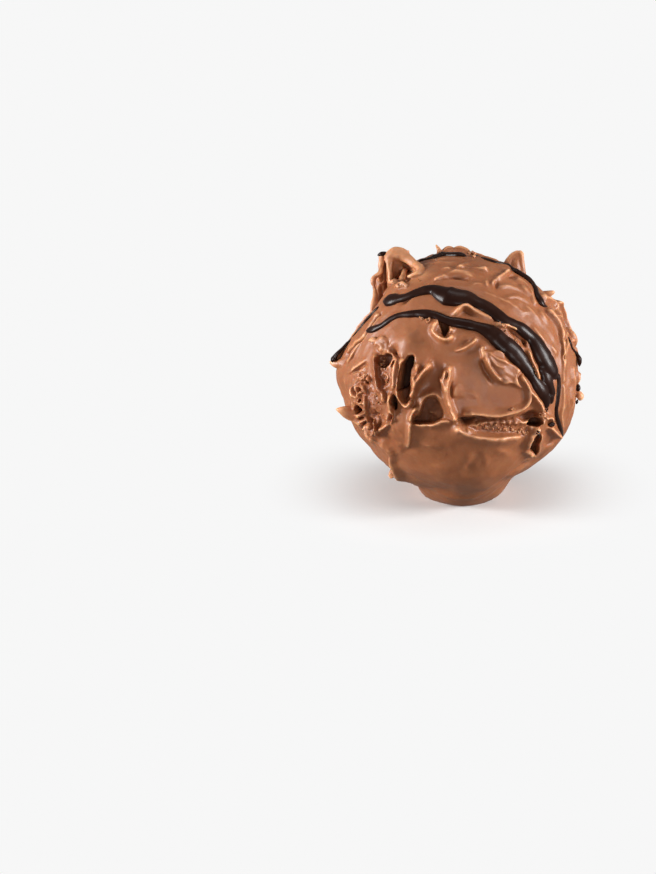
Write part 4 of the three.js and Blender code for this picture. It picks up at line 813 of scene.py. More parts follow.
# Tips, hoods and threads pulled out of the coat, as closed tapering tubes: (right, above, towards the
# viewer, radius) along each. rough makes one lumpy.
pulls = [
    # the hood at the upper left: arches, one behind the other, that run together
    pull([(-8.05, 10.4, 4.2, 0.32), (-8.15, 11.3, 3.9, 0.3), (-8.2, 12.1, 3.6, 0.34),
          (-8.2, 12.9, 3.3, 0.5), (-7.8, 13.35, 3.1, 0.85), (-7.2, 13.55, 3, 0.93), (-6.6, 13.4, 3.1, 0.8),
          (-6, 13, 3.4, 0.6), (-5.3, 12.5, 4.2, 0.5), (-4.65, 11.95, 5.4, 0.52), (-4.5, 11.6, 6, 0.48),
          (-4.9, 11.2, 6.5, 0.36), (-5.4, 11, 6.6, 0.27), (-5.9, 10.85, 6.4, 0.2)]),
    pull([(-7.9, 10.6, 2.8, 0.5), (-7.95, 11.8, 2.4, 0.5), (-7.6, 13.2, 2.2, 0.85), (-6.9, 13.3, 2.1, 0.9),
          (-6, 12.7, 2.2, 0.75), (-5.1, 11.9, 2.6, 0.65), (-4.8, 11, 3, 0.6)]),
    pull([(-7.7, 10.4, 1.6, 0.7), (-7.7, 11.8, 1.3, 0.75), (-7.1, 12.6, 1.2, 0.95), (-6.2, 12.3, 1.2, 0.9),
          (-5.2, 11.4, 1.6, 0.7)]),
    pull([(-7.2, 10.2, 0, 1.2), (-6.8, 11.6, 0, 1.1), (-5.8, 11.2, 0, 1.1)]),
    pull([(-7.9, 10.3, 3.5, 0.5), (-7.95, 11.4, 3.1, 0.5), (-7.85, 12.4, 2.8, 0.55), (-7.6, 13, 2.7, 0.7)]),
    pull([(-7.9, 10, 2.3, 0.6), (-7.9, 11.4, 1.9, 0.6), (-7.8, 12.4, 1.8, 0.6)]),
    pull([(-6.4, 11.7, 2.4, 0.4), (-6.5, 11.1, 4.1, 0.4), (-6.75, 10.4, 5.6, 0.44)], rough=0.6),
    pull([(-7.5, 10.9, 3.1, 0.4), (-7.4, 11.8, 2.7, 0.5), (-7, 12.4, 2.5, 0.5)]),
    # the fin behind it
    pull([(-9.9, 7, 2.6, 0.45), (-9.75, 8.2, 2.4, 0.4), (-9.75, 9.2, 2, 0.25), (-9.95, 10, 1.7, 0.22),
          (-9.75, 10.9, 1.5, 0.28), (-9.2, 11.5, 1.4, 0.32), (-9.08, 12.4, 1.2, 0.33),
          (-9.05, 13.35, 1, 0.32)]),
    pull([(-9.7, 7.2, 1.6, 0.6), (-9.45, 8.6, 1, 0.55), (-9.3, 9.8, 0.4, 0.4)]),
    pull([(-9.2, 10.6, 0.6, 0.4), (-8.95, 11.8, 0.5, 0.4), (-8.85, 13, 0.4, 0.4)]),
    pull([(-8.8, 10.8, -0.8, 0.6), (-8.7, 12, -0.6, 0.6), (-8.7, 13.2, -0.2, 0.4)]),
    pull([(-9, 9.2, -2, 0.9), (-8.9, 10.6, -1.8, 0.8), (-8.6, 11.6, -1.4, 0.7)]),
    pull([(-10, 10.2, 1.6, 0.3), (-10.05, 10.7, 1.6, 0.32), (-9.6, 11, 1.4, 0.3), (-9.2, 11.1, 1.2, 0.25)]),
    # the tooth at the upper right
    pull([(5.6, 11.8, -1, 0.6), (5.85, 12.8, -1.2, 0.5), (6.4, 13.45, -1.4, 0.45),
          (6.85, 13.8, -1.5, 0.36)], rough=0.4),
    pull([(7.45, 10.8, -1.2, 0.5), (7.3, 12.2, -1.3, 0.45), (7.25, 13.1, -1.4, 0.42),
          (7.2, 13.75, -1.5, 0.4)], rough=0.4),
    pull([(6.5, 11.4, -1.3, 0.9), (6.55, 12.5, -1.4, 0.75), (6.8, 13.3, -1.5, 0.5)], rough=0.6),
    # the knob
    pull([(-10.4, 3.5, 8.4, 0.26), (-9.95, 3.5, 8.9, 0.4), (-9.5, 3.3, 9.3, 0.4)], rough=2.4),
    pull([(-9.6, 3, 9.3, 0.4), (-9.2, 3.5, 9.6, 0.46), (-8.7, 3.4, 9.9, 0.5), (-8.35, 2.9, 10.2, 0.46),
          (-8.4, 2.4, 10.3, 0.35)], rough=2.4),
    pull([(-9.6, 2.6, 9.4, 0.3), (-9.15, 2.5, 9.8, 0.45), (-8.75, 2.8, 10.1, 0.45)], rough=2.4),
    pull([(-9.3, 2.9, 9.8, 0.4), (-8.9, 2.9, 10, 0.45)], rough=2.4),
    pull([(-9.3, 2.2, 9.7, 0.25), (-8.8, 2.1, 10, 0.3), (-8.3, 2.2, 10.2, 0.22)], rough=2),
    # a clump under the hood
    pull([(-7.95, 10.35, 4.9, 0.24), (-7.6, 10.35, 5.6, 0.34), (-7.3, 9.95, 6.3, 0.32),
          (-7.15, 9.6, 6.8, 0.26)], rough=2.4),
    pull([(-7.45, 9.7, 6.3, 0.26), (-7, 9.95, 6.7, 0.34), (-6.6, 9.9, 7, 0.32), (-6.2, 9.7, 7.4, 0.24)],
          rough=2.4),
    pull([(-6.9, 9.6, 7, 0.22), (-6.6, 10.2, 6.6, 0.28)], rough=2.4),
    # tips on the left
    pull([(-12.3, 1, 2.4, 1.2), (-13, 0.85, 2, 1.05), (-13.6, 0.8, 1.7, 0.8), (-14.2, 0.78, 1.5, 0.58),
          (-14.7, 0.85, 1.4, 0.38)]),
    pull([(-11.6, 4.3, 1.2, 0.42), (-12.2, 3.65, 1.2, 0.48), (-12.9, 2.85, 1.2, 0.46),
          (-13.55, 2.2, 1.2, 0.4), (-14.15, 1.6, 1.3, 0.34)], rough=0.4),
    pull([(-12.3, -4.9, 3.2, 1.05), (-12.8, -4.85, 3.3, 0.88), (-13.3, -4.75, 3.5, 0.66),
          (-13.75, -4.62, 3.6, 0.44), (-14.1, -4.55, 3.6, 0.26), (-14.3, -4.5, 3.6, 0.14)], rough=0.6),
    pull([(-11.6, -6, 4, 0.4), (-12.4, -5.6, 3.6, 0.3), (-13.4, -5.15, 3.5, 0.22)], rough=0.6),
    pull([(-7.4, -11.6, 1, 0.6), (-8, -12.2, 0.6, 0.4)]),
    # lumps over the right edge and spikes on the crown
    pull([(12.6, 4.6, 0.2, 0.6), (13.1, 4, 0.6, 0.6), (13.3, 3.4, 0.2, 0.6)]),
    pull([(13.1, 2.4, 0.6, 0.7), (13.4, 1.6, 0, 0.6), (13.5, 0.8, -0.6, 0.5)]),
    pull([(13.6, -0.1, 0.9, 0.42), (13.75, -0.6, 0.9, 0.46), (13.7, -1.15, 0.8, 0.4)]),
    pull([(13.4, -2.5, 0.8, 0.3), (14.05, -2.85, 0.8, 0.42), (14.1, -3.2, 0.8, 0.36)]),
    pull([(8.3, 9.8, -1.5, 0.5), (8.7, 10.5, -1.5, 0.16)]),
    pull([(9.4, 8.7, -1.5, 0.7), (10.3, 8.95, -1.5, 0.5), (11.05, 9.2, -1.5, 0.24)], rough=0.3),
    pull([(-2.3, 13.4, -0.8, 0.5), (-2.4, 14.1, -0.9, 0.28), (-2.65, 14.7, -1, 0.12)]),
    pull([(-1.9, 13.7, -1, 0.4), (-1.4, 14.2, -1.2, 0.34), (-0.8, 14.3, -1.2, 0.28)]),
    pull([(-0.5, 14, -1.2, 0.34), (0, 14.25, -1.2, 0.34), (0.6, 14.2, -1.2, 0.36), (1.1, 13.7, -1, 0.3)]),
    pull([(-2.3, 13.5, -1, 0.4), (-0.6, 13.75, -1, 0.45), (1.1, 13.5, -1, 0.4)]),
    pull([(1.7, 12.9, 1, 0.4), (1.85, 13.3, 0.8, 0.28)]),
    # back and sides
    pull([(6.6, 2.2, 11.6, 0.8), (6.8, 2.6, 12.8, 0.5), (6.6, 3.2, 13.8, 0.25)], turn=180),
    pull([(-5.2, 4.2, 11.8, 0.7), (-5.8, 4.9, 12.6, 0.45), (-6.5, 5.4, 12.8, 0.2)], turn=180),
    pull([(1, 8.2, 9.8, 0.7), (1.4, 8.9, 10.8, 0.45), (1.4, 9.8, 11.4, 0.2)], turn=222),
]


pullShape = dict(
    sides=12,
    ends=[0.45, 0.75, 0.93],  # how much narrower each ring of a rounded end is
    lumps=0.14,  # how lumpy they are, and at what size
    lumpSize=1,
    grain=0.07,
    grainSize=0.45,
)


def addTube(path, turn, verts, faces):
    sides, roll = pullShape["sides"], pullShape["ends"]
    places = np.asarray(path, float)[:, :3] @ sideAxes(turn)
    line = smoothLine(np.column_stack([places, [p[3] for p in path]]), 0.2)
    place, radius = line[:, :3], line[:, 3]
    ahead = unit(place[-1] - place[-2])
    back = unit(place[0] - place[1])
    tip = [place[-1] + ahead * radius[-1] * math.sin(math.acos(1 - k)) * 0.9 for k in roll]
    tail = [place[0] + back * radius[0] * math.sin(math.acos(1 - k)) * 0.9 for k in roll]
    place = np.vstack([tail[::-1], place, tip])
    narrow = 1 - np.array(roll)
    radius = np.concatenate([radius[0] * narrow[::-1], radius, radius[-1] * narrow])
    run = unit(np.gradient(place, axis=0))
    up = np.cross(run[0], [0.3, 0.5, 0.8])
    start = len(verts)
    for p, r, d in zip(place, radius, run):
        up = unit(up - (up @ d) * d)
        other = np.cross(d, up)
        for k in range(sides):
            a = math.tau * k / sides
            verts.append(p + centre + r * (math.cos(a) * up + math.sin(a) * other))
    rings = len(place)
    for i in range(rings - 1):
        for k in range(sides):
            a, b = start + i * sides + k, start + i * sides + (k + 1) % sides
            faces.append((a, b, b + sides, a + sides))
    faces.append(tuple(start + k for k in reversed(range(sides))))
    faces.append(tuple(start + (rings - 1) * sides + k for k in range(sides)))


def linked(name, data):  # a new object in the scene
    thing = bpy.data.objects.new(name, data)
    bpy.context.collection.objects.link(thing)
    return thing


def meshObject(name, verts, faces):
    mesh = bpy.data.meshes.new(name)
    mesh.from_pydata([tuple(v) for v in verts], [], faces)
    mesh.update()
    return linked(name, mesh)


def applied(thing):  # the object with its modifiers made real
    graph = bpy.context.evaluated_depsgraph_get()
    mesh = bpy.data.meshes.new_from_object(thing.evaluated_get(graph))
    thing.modifiers.clear()
    old, thing.data = thing.data, mesh
    bpy.data.meshes.remove(old)
    return thing


def remeshed(thing, voxel):
    remesh = thing.modifiers.new("remesh", "REMESH")
    remesh.mode, remesh.voxel_size = "VOXEL", voxel
    return applied(thing)


def thinned(thing, triangles):
    thin = thing.modifiers.new("thin", "DECIMATE")
    thin.ratio = triangles / (2 * len(thing.data.polygons))
    return applied(thing)


def finished(thing, finish):
    thing.data.materials.clear()
    thing.data.materials.append(finish)
    thing.data.shade_smooth()
    return thing


def placesOf(mesh):
    flat = np.empty(3 * len(mesh.vertices))
    mesh.vertices.foreach_get("co", flat)
    return flat.reshape(-1, 3)


def setPlaces(mesh, places):
    mesh.vertices.foreach_set("co", np.ascontiguousarray(places, float).ravel())
    mesh.update()


def edgesOf(mesh):
    flat = np.empty(2 * len(mesh.edges), np.int32)
    mesh.edges.foreach_get("vertices", flat)
    return flat.reshape(-1, 2)


def setField(mesh, name, values):
    mesh.attributes.new(name, "FLOAT", "POINT").data.foreach_set("value", values)


def smoothed(values, edges, times, amount=0.5):
    count = np.bincount(edges.ravel(), minlength=len(values)).clip(1)
    for _ in range(times):
        mean = np.column_stack([
            np.bincount(edges[:, 0], column[edges[:, 1]], len(values))
            + np.bincount(edges[:, 1], column[edges[:, 0]], len(values))
            for column in values.T
        ]) / count[:, None]
        values = values + amount * (mean - values)
    return values


def makeTubes():
    verts, faces, rough = [], [], []
    for mark in pulls:
        addTube(mark["path"], mark["turn"], verts, faces)
        rough += [mark["rough"]] * (len(verts) - len(rough))
    verts, rough = np.array(verts), np.array(rough)[:, None]
    for size, much in (
        (pullShape["lumpSize"], pullShape["lumps"] * rough.clip(0, 1)),
        (pullShape["grainSize"], pullShape["grain"] * rough),
    ):
        verts = verts + much * np.column_stack([noise(verts, size, seed) for seed in (41, 42, 43)])
    return meshObject("tubes", verts, faces)


def keepLargest(thing):
    build = bmesh.new()
    build.from_mesh(thing.data)
    build.verts.ensure_lookup_table()
    seen = np.zeros(len(build.verts), int)
    groups = 0
    for vert in build.verts:
        if seen[vert.index]:
            continue
        groups += 1
        seen[vert.index] = groups
        queue = [vert]
        while queue:
            for edge in queue.pop().link_edges:
                for other in edge.verts:
                    if not seen[other.index]:
                        seen[other.index] = groups
                        queue.append(other)
    main = np.bincount(seen).argmax()
    bmesh.ops.delete(build, geom=[v for v in build.verts if seen[v.index] != main], context="VERTS")
    build.to_mesh(thing.data)
    build.free()
    print("stray bits dropped", groups - 1)


def markCrests(mesh):  # how far each point stands out of, or lies in, the surface around it
    places, edges = placesOf(mesh), edgesOf(mesh)
    normals = np.empty(3 * len(mesh.vertices))
    mesh.vertices.foreach_get("normal", normals)
    normals = normals.reshape(-1, 3)
    few, many = ball["crests"]
    fine = smoothed(places, edges, few)
    broad = smoothed(fine, edges, many)
    out = unit(places - centre) * ball["radius"]
    setField(mesh, "crest", ((places - fine) * normals).sum(1))
    setField(mesh, "proud", ((fine - broad) * normals).sum(1))
    setField(mesh, "level", np.linalg.norm(places - centre, axis=1) - baseRadius(out))
    # the painted-shade patches, kept in the attribute thin
    setField(mesh, "thin", paintedShadeOf(out))
    print("crests marked")


def makeCoat(finish):
    build = bmesh.new()
    bmesh.ops.create_icosphere(build, subdivisions=ball["fineness"], radius=ball["radius"])
    core = bpy.data.meshes.new("core")
    build.to_mesh(core)
    build.free()
    setPlaces(core, coatSurface(placesOf(core)))
    print("ball sculpted")
    tubes = makeTubes()
    coat = linked("milk_coat", core)
    with bpy.context.temp_override(active_object=coat, selected_editable_objects=[coat, tubes]):
        bpy.ops.object.join()
    remeshed(coat, ball["voxel"])
    print("coat remeshed", len(coat.data.polygons))
    setPlaces(coat.data, smoothed(placesOf(coat.data), edgesOf(coat.data), ball["smoothing"]))
    markCrests(coat.data)
    thinned(coat, ball["triangles"])
    keepLargest(coat)
    places = placesOf(coat.data)
    places[:, 2] = np.where(places[:, 2] < ball["flatBelow"], 0, places[:, 2])
    setPlaces(coat.data, places * mm)
    print("coat thinned", len(coat.data.polygons))
    return finished(coat, finish)


class Tree:  # a node tree in which a new node's sockets get values or links, by name or number
    def __init__(self, tree):
        self.tree = tree

    def node(self, kind, settings=None, sockets=None, **named):
        made = self.tree.nodes.new(kind)
        for key, value in (settings or {}).items():
            setattr(made, key, value)
        named = {key.replace("_", " "): value for key, value in named.items()}
        for key, value in {**(sockets or {}), **named}.items():
            if isinstance(value, Socket):
                value = value.out
            if isinstance(value, bpy.types.NodeSocket):
                self.tree.links.new(value, made.inputs[key])
            else:
                made.inputs[key].default_value = value
        return made

    def vector(self, operation, *values, **named):
        settings = dict(operation=operation)
        return self.node("ShaderNodeVectorMath", settings, dict(enumerate(values)), **named).outputs

    def cloud(self, size, detail=3.0, rough=0.5):  # noise over the piece, size in millimetres
        where = self.node("ShaderNodeTexCoord").outputs["Object"]
        scale = 1 / (size * mm)
        made = self.node("ShaderNodeTexNoise", Vector=where, Scale=scale, Detail=detail, Roughness=rough)
        return Socket(self, made.outputs[0])

    def field(self, name):
        return Socket(self, self.node("ShaderNodeAttribute", dict(attribute_name=name)).outputs["Fac"])

    def mix(self, factor, a, b):
        made = self.node("ShaderNodeMix", dict(data_type="RGBA"), {0: factor, 6: a, 7: b})
        return made.outputs[2]


class Socket:  # a value in a node tree that can be written in sums
    def __init__(self, tree, out):
        self.tree, self.out = tree, out

    def math(self, operation, *others, clamp=False):
        settings = dict(operation=operation, use_clamp=clamp)
        made = self.tree.node("ShaderNodeMath", settings, dict(enumerate((self, *others))))
        return Socket(self.tree, made.outputs[0])

    def __add__(self, other):
        return self.math("ADD", other)

    def __sub__(self, other):
        return self.math("SUBTRACT", other)

    def __mul__(self, other):
        return self.math("MULTIPLY", other)

    def __truediv__(self, other):
        return self.math("DIVIDE", other)

    def __rsub__(self, other):
        return self.math("MULTIPLY", -1).math("ADD", other)

    __radd__ = __add__
    __rmul__ = __mul__

    def held(self, factor=1):  # times a factor, and kept between 0 and 1
        return self.math("MULTIPLY", factor, clamp=True)


def newGeometryTree(name, **sizes):  # with these inputs, a material and its own geometry
    group = bpy.data.node_groups.new(name, "GeometryNodeTree")

    def socket(name, kind, way="INPUT"):
        return group.interface.new_socket(name, in_out=way, socket_type="NodeSocket" + kind)

    socket("Geometry", "Geometry")
    for key, value in sizes.items():
        socket(key.replace("_", " "), "Int" if isinstance(value, int) else "Float").default_value = value
    socket("Material", "Material")
    socket("Geometry", "Geometry", "OUTPUT")
    t = Tree(group)
    return t, t.node("NodeGroupInput").outputs


def grown(thing, group, finish):  # the plain mesh that a geometry tree makes of a thing
    grow = thing.modifiers.new(group.name, "NODES")
    grow.node_group = group
    for item in group.interface.items_tree:
        if item.name == "Material" and item.in_out == "INPUT":
            grow[item.identifier] = finish
    graph = bpy.context.evaluated_depsgraph_get()
    mesh = bpy.data.meshes.new_from_object(thing.evaluated_get(graph))
    name = thing.name
    bpy.data.objects.remove(thing)
    return linked(name, mesh)


# The dark strands: (right, above, half width) along each, or (right, above, least, half width), where
# least is how near the viewer it has to lie, so that it runs over tips that stand out of the ball.
drizzle = dict(
    flatness=0.62,  # height of a strand's section as a part of its width
    ripple=0.08,  # how uneven its width is
    rippleSize=1.1,
    follows=(0.3, 0.4),  # how far below and above the ball it follows the coat
    settles=70,  # percentile of the coat's heights nearby that it lies on
    stiffness=3,  # how many points along it count as nearby
    smoothing=3,
    sides=20,
    voxel=0.085,
    triangles=70000,
)
strands = [
    strand([(-8.9, 8.1, 0.4), (-8.3, 8.15, 0.75), (-7.5, 8.2, 0.76), (-6.8, 8.35, 0.5), (-6, 8.62, 0.42),
            (-5, 9, 0.47), (-4, 9.28, 0.55), (-3, 9.3, 0.68), (-2, 8.8, 1.06), (-1, 8.48, 1.12),
            (0, 8.34, 1), (1, 8.2, 0.86), (2, 7.68, 0.8), (3, 7.24, 0.78), (4, 6.56, 0.77), (5, 5.8, 0.7),
            (6, 5.38, 0.6), (7, 4.85, 0.7), (8, 4, 0.76), (8.75, 3.1, 0.85), (9.3, 2.1, 1),
            (9.85, 1.1, 1.05), (10.4, 0.2, 1), (10.9, -0.5, 0.75), (11.15, -1, 0.45)]),
    strand([(9.2, 0.9, 0.6), (9.7, -0.1, 0.62), (10.1, -1.1, 0.62), (10.45, -1.9, 0.5), (10.7, -2.7, 0.4),
            (10.75, -3.2, 0.25)]),
    strand([(10.4, -2.4, 0.35), (10.55, -3.2, 0.4), (10.6, -3.9, 0.22)]),
    strand([(11.3, -0.3, 0.35), (11.45, -1.3, 0.26), (11.4, -2.5, 0.26), (11.3, -3.5, 0.26),
            (11.15, -4.5, 0.28), (11.3, -5.4, 0.28), (11.6, -6.3, 0.29), (11.85, -7.1, 0.3),
            (12, -7.8, 0.28)]),
    strand([(-10.85, 4.6, 0.4), (-10, 4.8, 0.45), (-9, 5.25, 0.34), (-8, 5.95, 0.34), (-7, 6.38, 0.35),
            (-6, 6.5, 0.42), (-5, 6.57, 0.48), (-4, 6.5, 0.54), (-3, 6.38, 0.5), (-2, 5.95, 0.52),
            (-1, 5.6, 0.6), (0, 5.45, 0.62), (1, 5.25, 0.62), (2, 5, 0.6), (3, 4.62, 0.76), (4, 3.95, 1),
            (5, 3, 1.04), (5.8, 2.45, 1.05), (6.5, 1.72, 1), (7.1, 1, 0.9), (7.8, 0.1, 0.75),
            (8.45, -0.95, 0.6), (9.05, -1.9, 0.74), (9.65, -2.8, 0.72), (10, -3.7, 0.5),
            (10.1, -4.4, 0.25)]),
    strand([(-4.9, 12.7, 0.12), (-4, 13.1, 0.22), (-3, 13.35, 0.34), (-2, 13.5, 0.4), (-1, 13.52, 0.42),
            (0, 13.48, 0.38), (0.8, 13.3, 0.25)]),
    strand([(1.5, 13.9, 0, 0.12), (2.2, 13.3, 0, 0.2), (3, 13, 0, 0.16), (4, 12.7, 0, 0.14),
            (5, 12.5, 0, 0.14), (5.7, 12.35, 0, 0.18), (6.3, 11.8, 0, 0.26), (7, 11.3, 0, 0.26),
            (7.8, 10.75, 0, 0.28), (8.4, 10.2, 0, 0.33), (8.8, 9.6, 0, 0.36), (8.95, 9, 0, 0.36),
            (9.2, 8.4, 0, 0.38), (9.55, 7.85, 0, 0.32), (10, 7.45, 0, 0.2), (10.7, 7.1, 0, 0.16),
            (11.2, 6.75, 0, 0.14)]),
    strand([(12.7, 4, 0.3, 0.13), (12.85, 3.3, 0.3, 0.15), (13.15, 2.65, 0.6, 0.18),
            (13.5, 2.25, 1.1, 0.19), (13.85, 1.75, 1.5, 0.19), (14.05, 1.15, 1.5, 0.19),
            (14, 0.5, 1.3, 0.16)]),
    strand([(13.85, -1.5, 0.9, 0.22), (13.9, -1.9, 0.9, 0.24), (13.8, -2.4, 0.9, 0.2)]),
    strand([(13.8, -3.3, 1.2, 0.14), (13.65, -3.9, 1.2, 0.12)]),
    strand([(-9.35, 7.5, 0, 0.12), (-10, 6.8, 0, 0.18), (-10.6, 6.15, 0, 0.22), (-11, 5.75, 0, 0.18),
            (-11.5, 5.05, 0.6, 0.15), (-12.05, 4.4, 1.7, 0.15), (-12.6, 3.75, 1.9, 0.14),
            (-13.25, 3, 1.9, 0.14), (-13.85, 2.4, 1.9, 0.15), (-14.3, 1.95, 1.9, 0.2),
            (-14.65, 1.4, 1.7, 0.3), (-14.85, 1, 1.6, 0.22)]),
    strand([(-9.55, 13.45, 1, 0.14), (-9.1, 13.62, 1, 0.2), (-8.7, 13.75, 1.1, 0.2),
            (-8.4, 13.85, 1.2, 0.14)]),
    strand([(-9.9, 3.9, 0.3), (-7.6, 5.2, 0.5), (-6, 5.9, 0.42), (-4, 6.3, 0.65), (-2, 6.6, 0.7),
            (0, 6.8, 0.6), (2, 6.7, 0.5), (4, 6.2, 0.6), (6, 5.3, 0.5), (8, 4, 0.6), (9.4, 2.6, 0.5),
            (10.4, 1.2, 0.4), (11.2, -0.4, 0.3), (11.8, -1.8, 0.2)], turn=180),
    strand([(-11.6, -0.4, 0.3), (-10.4, 0.9, 0.4), (-9, 1.9, 0.5), (-7, 2.6, 0.45), (-5, 3, 0.6),
            (-3, 3.2, 0.75), (-0.6, 3.2, 0.65), (2, 3, 0.6), (4, 2.6, 0.8), (6.4, 1.8, 0.7),
            (8.2, 0.2, 0.5), (9.2, -1.6, 0.4), (9.9, -3.4, 0.4), (10.4, -5.2, 0.25)], turn=180),
]


def evened(values, spread, share=None):  # running mean, or running percentile
    padded = np.pad(values, spread, mode="edge")
    windows = np.lib.stride_tricks.sliding_window_view(padded, 2 * spread + 1)
    return windows.mean(axis=1) if share is None else np.percentile(windows, share, axis=1)


def strandPoints(mark, tree):
    marks = smoothLine(np.asarray(mark["path"], float), 0.25)
    axes = sideAxes(mark["turn"])
    least = marks[:, 2] if marks.shape[1] == 4 else np.zeros(len(marks))
    level = np.full(len(marks), ball["radius"])
    across = (marks[:, :2] ** 2).sum(1)
    dip, climb = drizzle["follows"]
    for _ in range(5):
        ahead = np.sqrt(np.clip(level**2 - across, least**2, None))
        out = unit(np.column_stack([marks[:, :2], ahead]) @ axes)
        hits = [tree.ray_cast(Vector((centre + d * farOut) * mm), Vector(-d))[0] for d in out]
        found = np.linalg.norm(np.array(hits) / mm - centre, axis=1)
        rest = baseRadius(out * ball["radius"])
        level = evened(np.clip(found, rest - dip, rest + climb), drizzle["stiffness"], drizzle["settles"])
        level = evened(level, drizzle["stiffness"])
        level = np.where(least > 0, np.maximum(level, np.sqrt(across + least**2)), level)
    wide = marks[:, -1]
    leftward = unit(np.cross(out, np.gradient(out * level[:, None], axis=0)))
    slant = (leftward @ axes[2]) ** 2  # widths are as seen from the side
    wide = wide * 2 / (np.sqrt(1 - slant) + np.sqrt(1 - slant * (1 - drizzle["flatness"] ** 2)))
    ends = 0.25 * np.minimum(np.arange(len(wide)), np.arange(len(wide))[::-1])
    wide = wide * np.sqrt(np.clip((ends + 0.04) / (0.9 * wide + 0.04), 0, 1))
    return (out * level[:, None] + centre) * mm, wide * mm


def strandTree():
    fineness = 1 / (drizzle["rippleSize"] * mm)
    t, given = newGeometryTree("drizzle_strands", Flatness=drizzle["flatness"], Ripple=drizzle["ripple"],
                               Ripple_fineness=fineness)
    place = t.node("GeometryNodeInputPosition").outputs[0]
    outward = t.vector("SUBTRACT", place, tuple(centre * mm))[0]
    aimed = t.node("GeometryNodeSetCurveNormal", dict(mode="FREE"), Curve=given["Geometry"], Normal=outward)
    ripple = t.node("ShaderNodeTexNoise", Vector=place, Scale=given["Ripple fineness"], Detail=1.0)
    scale = (Socket(t, ripple.outputs[0]) - 0.5) * Socket(t, given["Ripple"]) * 4 + 1
    radius = Socket(t, t.node("GeometryNodeInputRadius").outputs[0])
    ring = t.node("GeometryNodeCurvePrimitiveCircle", Resolution=drizzle["sides"], Radius=1.0)
    squash = t.node("ShaderNodeCombineXYZ", X=given["Flatness"], Y=1.0, Z=1.0)
    profile = t.node("GeometryNodeTransform", Geometry=ring.outputs[0], Scale=squash.outputs[0])
    swept = t.node("GeometryNodeCurveToMesh", Curve=aimed.outputs[0], Profile_Curve=profile.outputs[0],
                   Scale=radius * scale, Fill_Caps=True)
    real = t.node("GeometryNodeRealizeInstances", Geometry=swept.outputs[0])
    done = t.node("GeometryNodeSetMaterial", Geometry=real.outputs[0], Material=given["Material"])
    t.node("NodeGroupOutput", Geometry=done.outputs[0])
    return t.tree


def makeDrizzle(coat, finish):
    tree = BVHTree.FromObject(coat, bpy.context.evaluated_depsgraph_get())
    curve = bpy.data.curves.new("drizzle_paths", "CURVE")
    curve.dimensions = "3D"
    for mark in strands:
        points, radii = strandPoints(mark, tree)
        spline = curve.splines.new("POLY")
        spline.points.add(len(points) - 1)
        for point, place, radius in zip(spline.points, points, radii):
            point.co = (*place, 1)
            point.radius = radius
    thing = grown(linked("dark_drizzle", curve), strandTree(), finish)
    setPlaces(thing.data, placesOf(thing.data) / mm)
    remeshed(thing, drizzle["voxel"])
    smooth = smoothed(placesOf(thing.data), edgesOf(thing.data), drizzle["smoothing"])
    setPlaces(thing.data, smooth * mm)
    thinned(thing, drizzle["triangles"])
    print("drizzle made", len(thing.data.polygons))
    return finished(thing, finish)


# Crumbs are strewn from where to where, how many, how far to the side, with what radii.
crumbs = dict(
    lumps=0.1,  # how far a crumb's surface goes in and out, and at what size
    lumpSize=0.3,
    stretch=(0.6, 1.2),  # of its radius, along each of its axes
    above=0.45,  # how far its middle lies above the coat, of its radius
    scatter=0.6,  # of how far to the side they lie at most, mostly
    pale=0.09,  # how much of the painted rim highlight the crumbs take, as a ridge that stands out by this much
    seed=3,
)
milkCrumbs = [
    strew([(-7.6, 10.3), (-7.3, 9.7), (-6.4, 10)], 8, 0.3, (0.12, 0.2)),
    strew([(-4.9, 10.5), (-4.5, 10.4)], 2, 0.1, (0.09, 0.13)),
    strew([(-4.3, 6), (-3.7, 5.7)], 6, 0.25, (0.12, 0.22)),
    strew([(4.2, 5.4), (5, 5.3)], 6, 0.12, (0.1, 0.2)),
    strew([(5.1, 4.7), (6.2, 3.7), (7.4, 2.2)], 12, 0.1, (0.07, 0.14)),
    strew([(1.2, 13.9), (1.9, 13.3)], 9, 0.2, (0.13, 0.24)),
    strew([(2.4, -6.3), (3.4, -6.6), (5.4, -6.8), (7.4, -7)], 46, 0.28, (0.06, 0.15)),
    strew([(7.1, -7.5), (7.7, -7.2)], 6, 0.12, (0.1, 0.18)),
    strew([(9.3, -5.5), (10.1, -5.1)], 6, 0.25, (0.1, 0.2)),
    strew([(5.8, -4.6), (6.2, -4.5)], 3, 0.08, (0.12, 0.2)),
    strew([(-11.6, -0.5), (-10.8, -0.6)], 6, 0.15, (0.1, 0.18)),
    strew([(-9.6, -2.6), (-9.2, -6)], 14, 0.5, (0.06, 0.12)),
    strew([(-8.8, 1.6), (-8.7, -1.4)], 16, 0.4, (0.06, 0.13)),
    strew([(8.4, 0.6), (8.9, -0.6)], 5, 0.06, (0.06, 0.1)),
    strew([(-3, 3), (3, -5)], 14, 3, (0.07, 0.2), turn=135),
    strew([(-5, 2), (5, -4)], 18, 4, (0.07, 0.22), turn=180),
    strew([(-3, 2), (3, -5)], 14, 3, (0.07, 0.2), turn=225),
]
darkCrumbs = [
    strew([(8.9, -7.3), (9.3, -7.1)], 3, 0.1, (0.1, 0.16)),
    strew([(6.2, 1.7), (6.9, 0.6)], 4, 0.1, (0.07, 0.12)),
    strew([(10.5, -6.05), (10.5, -6.15)], 2, 0.05, (0.36, 0.4)),
    strew([(9.2, -7.5), (9.5, -7)], 4, 0.06, (0.18, 0.26)),
    strew([(9.6, -4.4), (10, -4.6)], 3, 0.1, (0.1, 0.15)),
    strew([(-6, 5), (6, 4)], 10, 2, (0.06, 0.15), turn=180),
    strew([(2, 4), (6, 2)], 6, 1, (0.06, 0.14), turn=90),
]


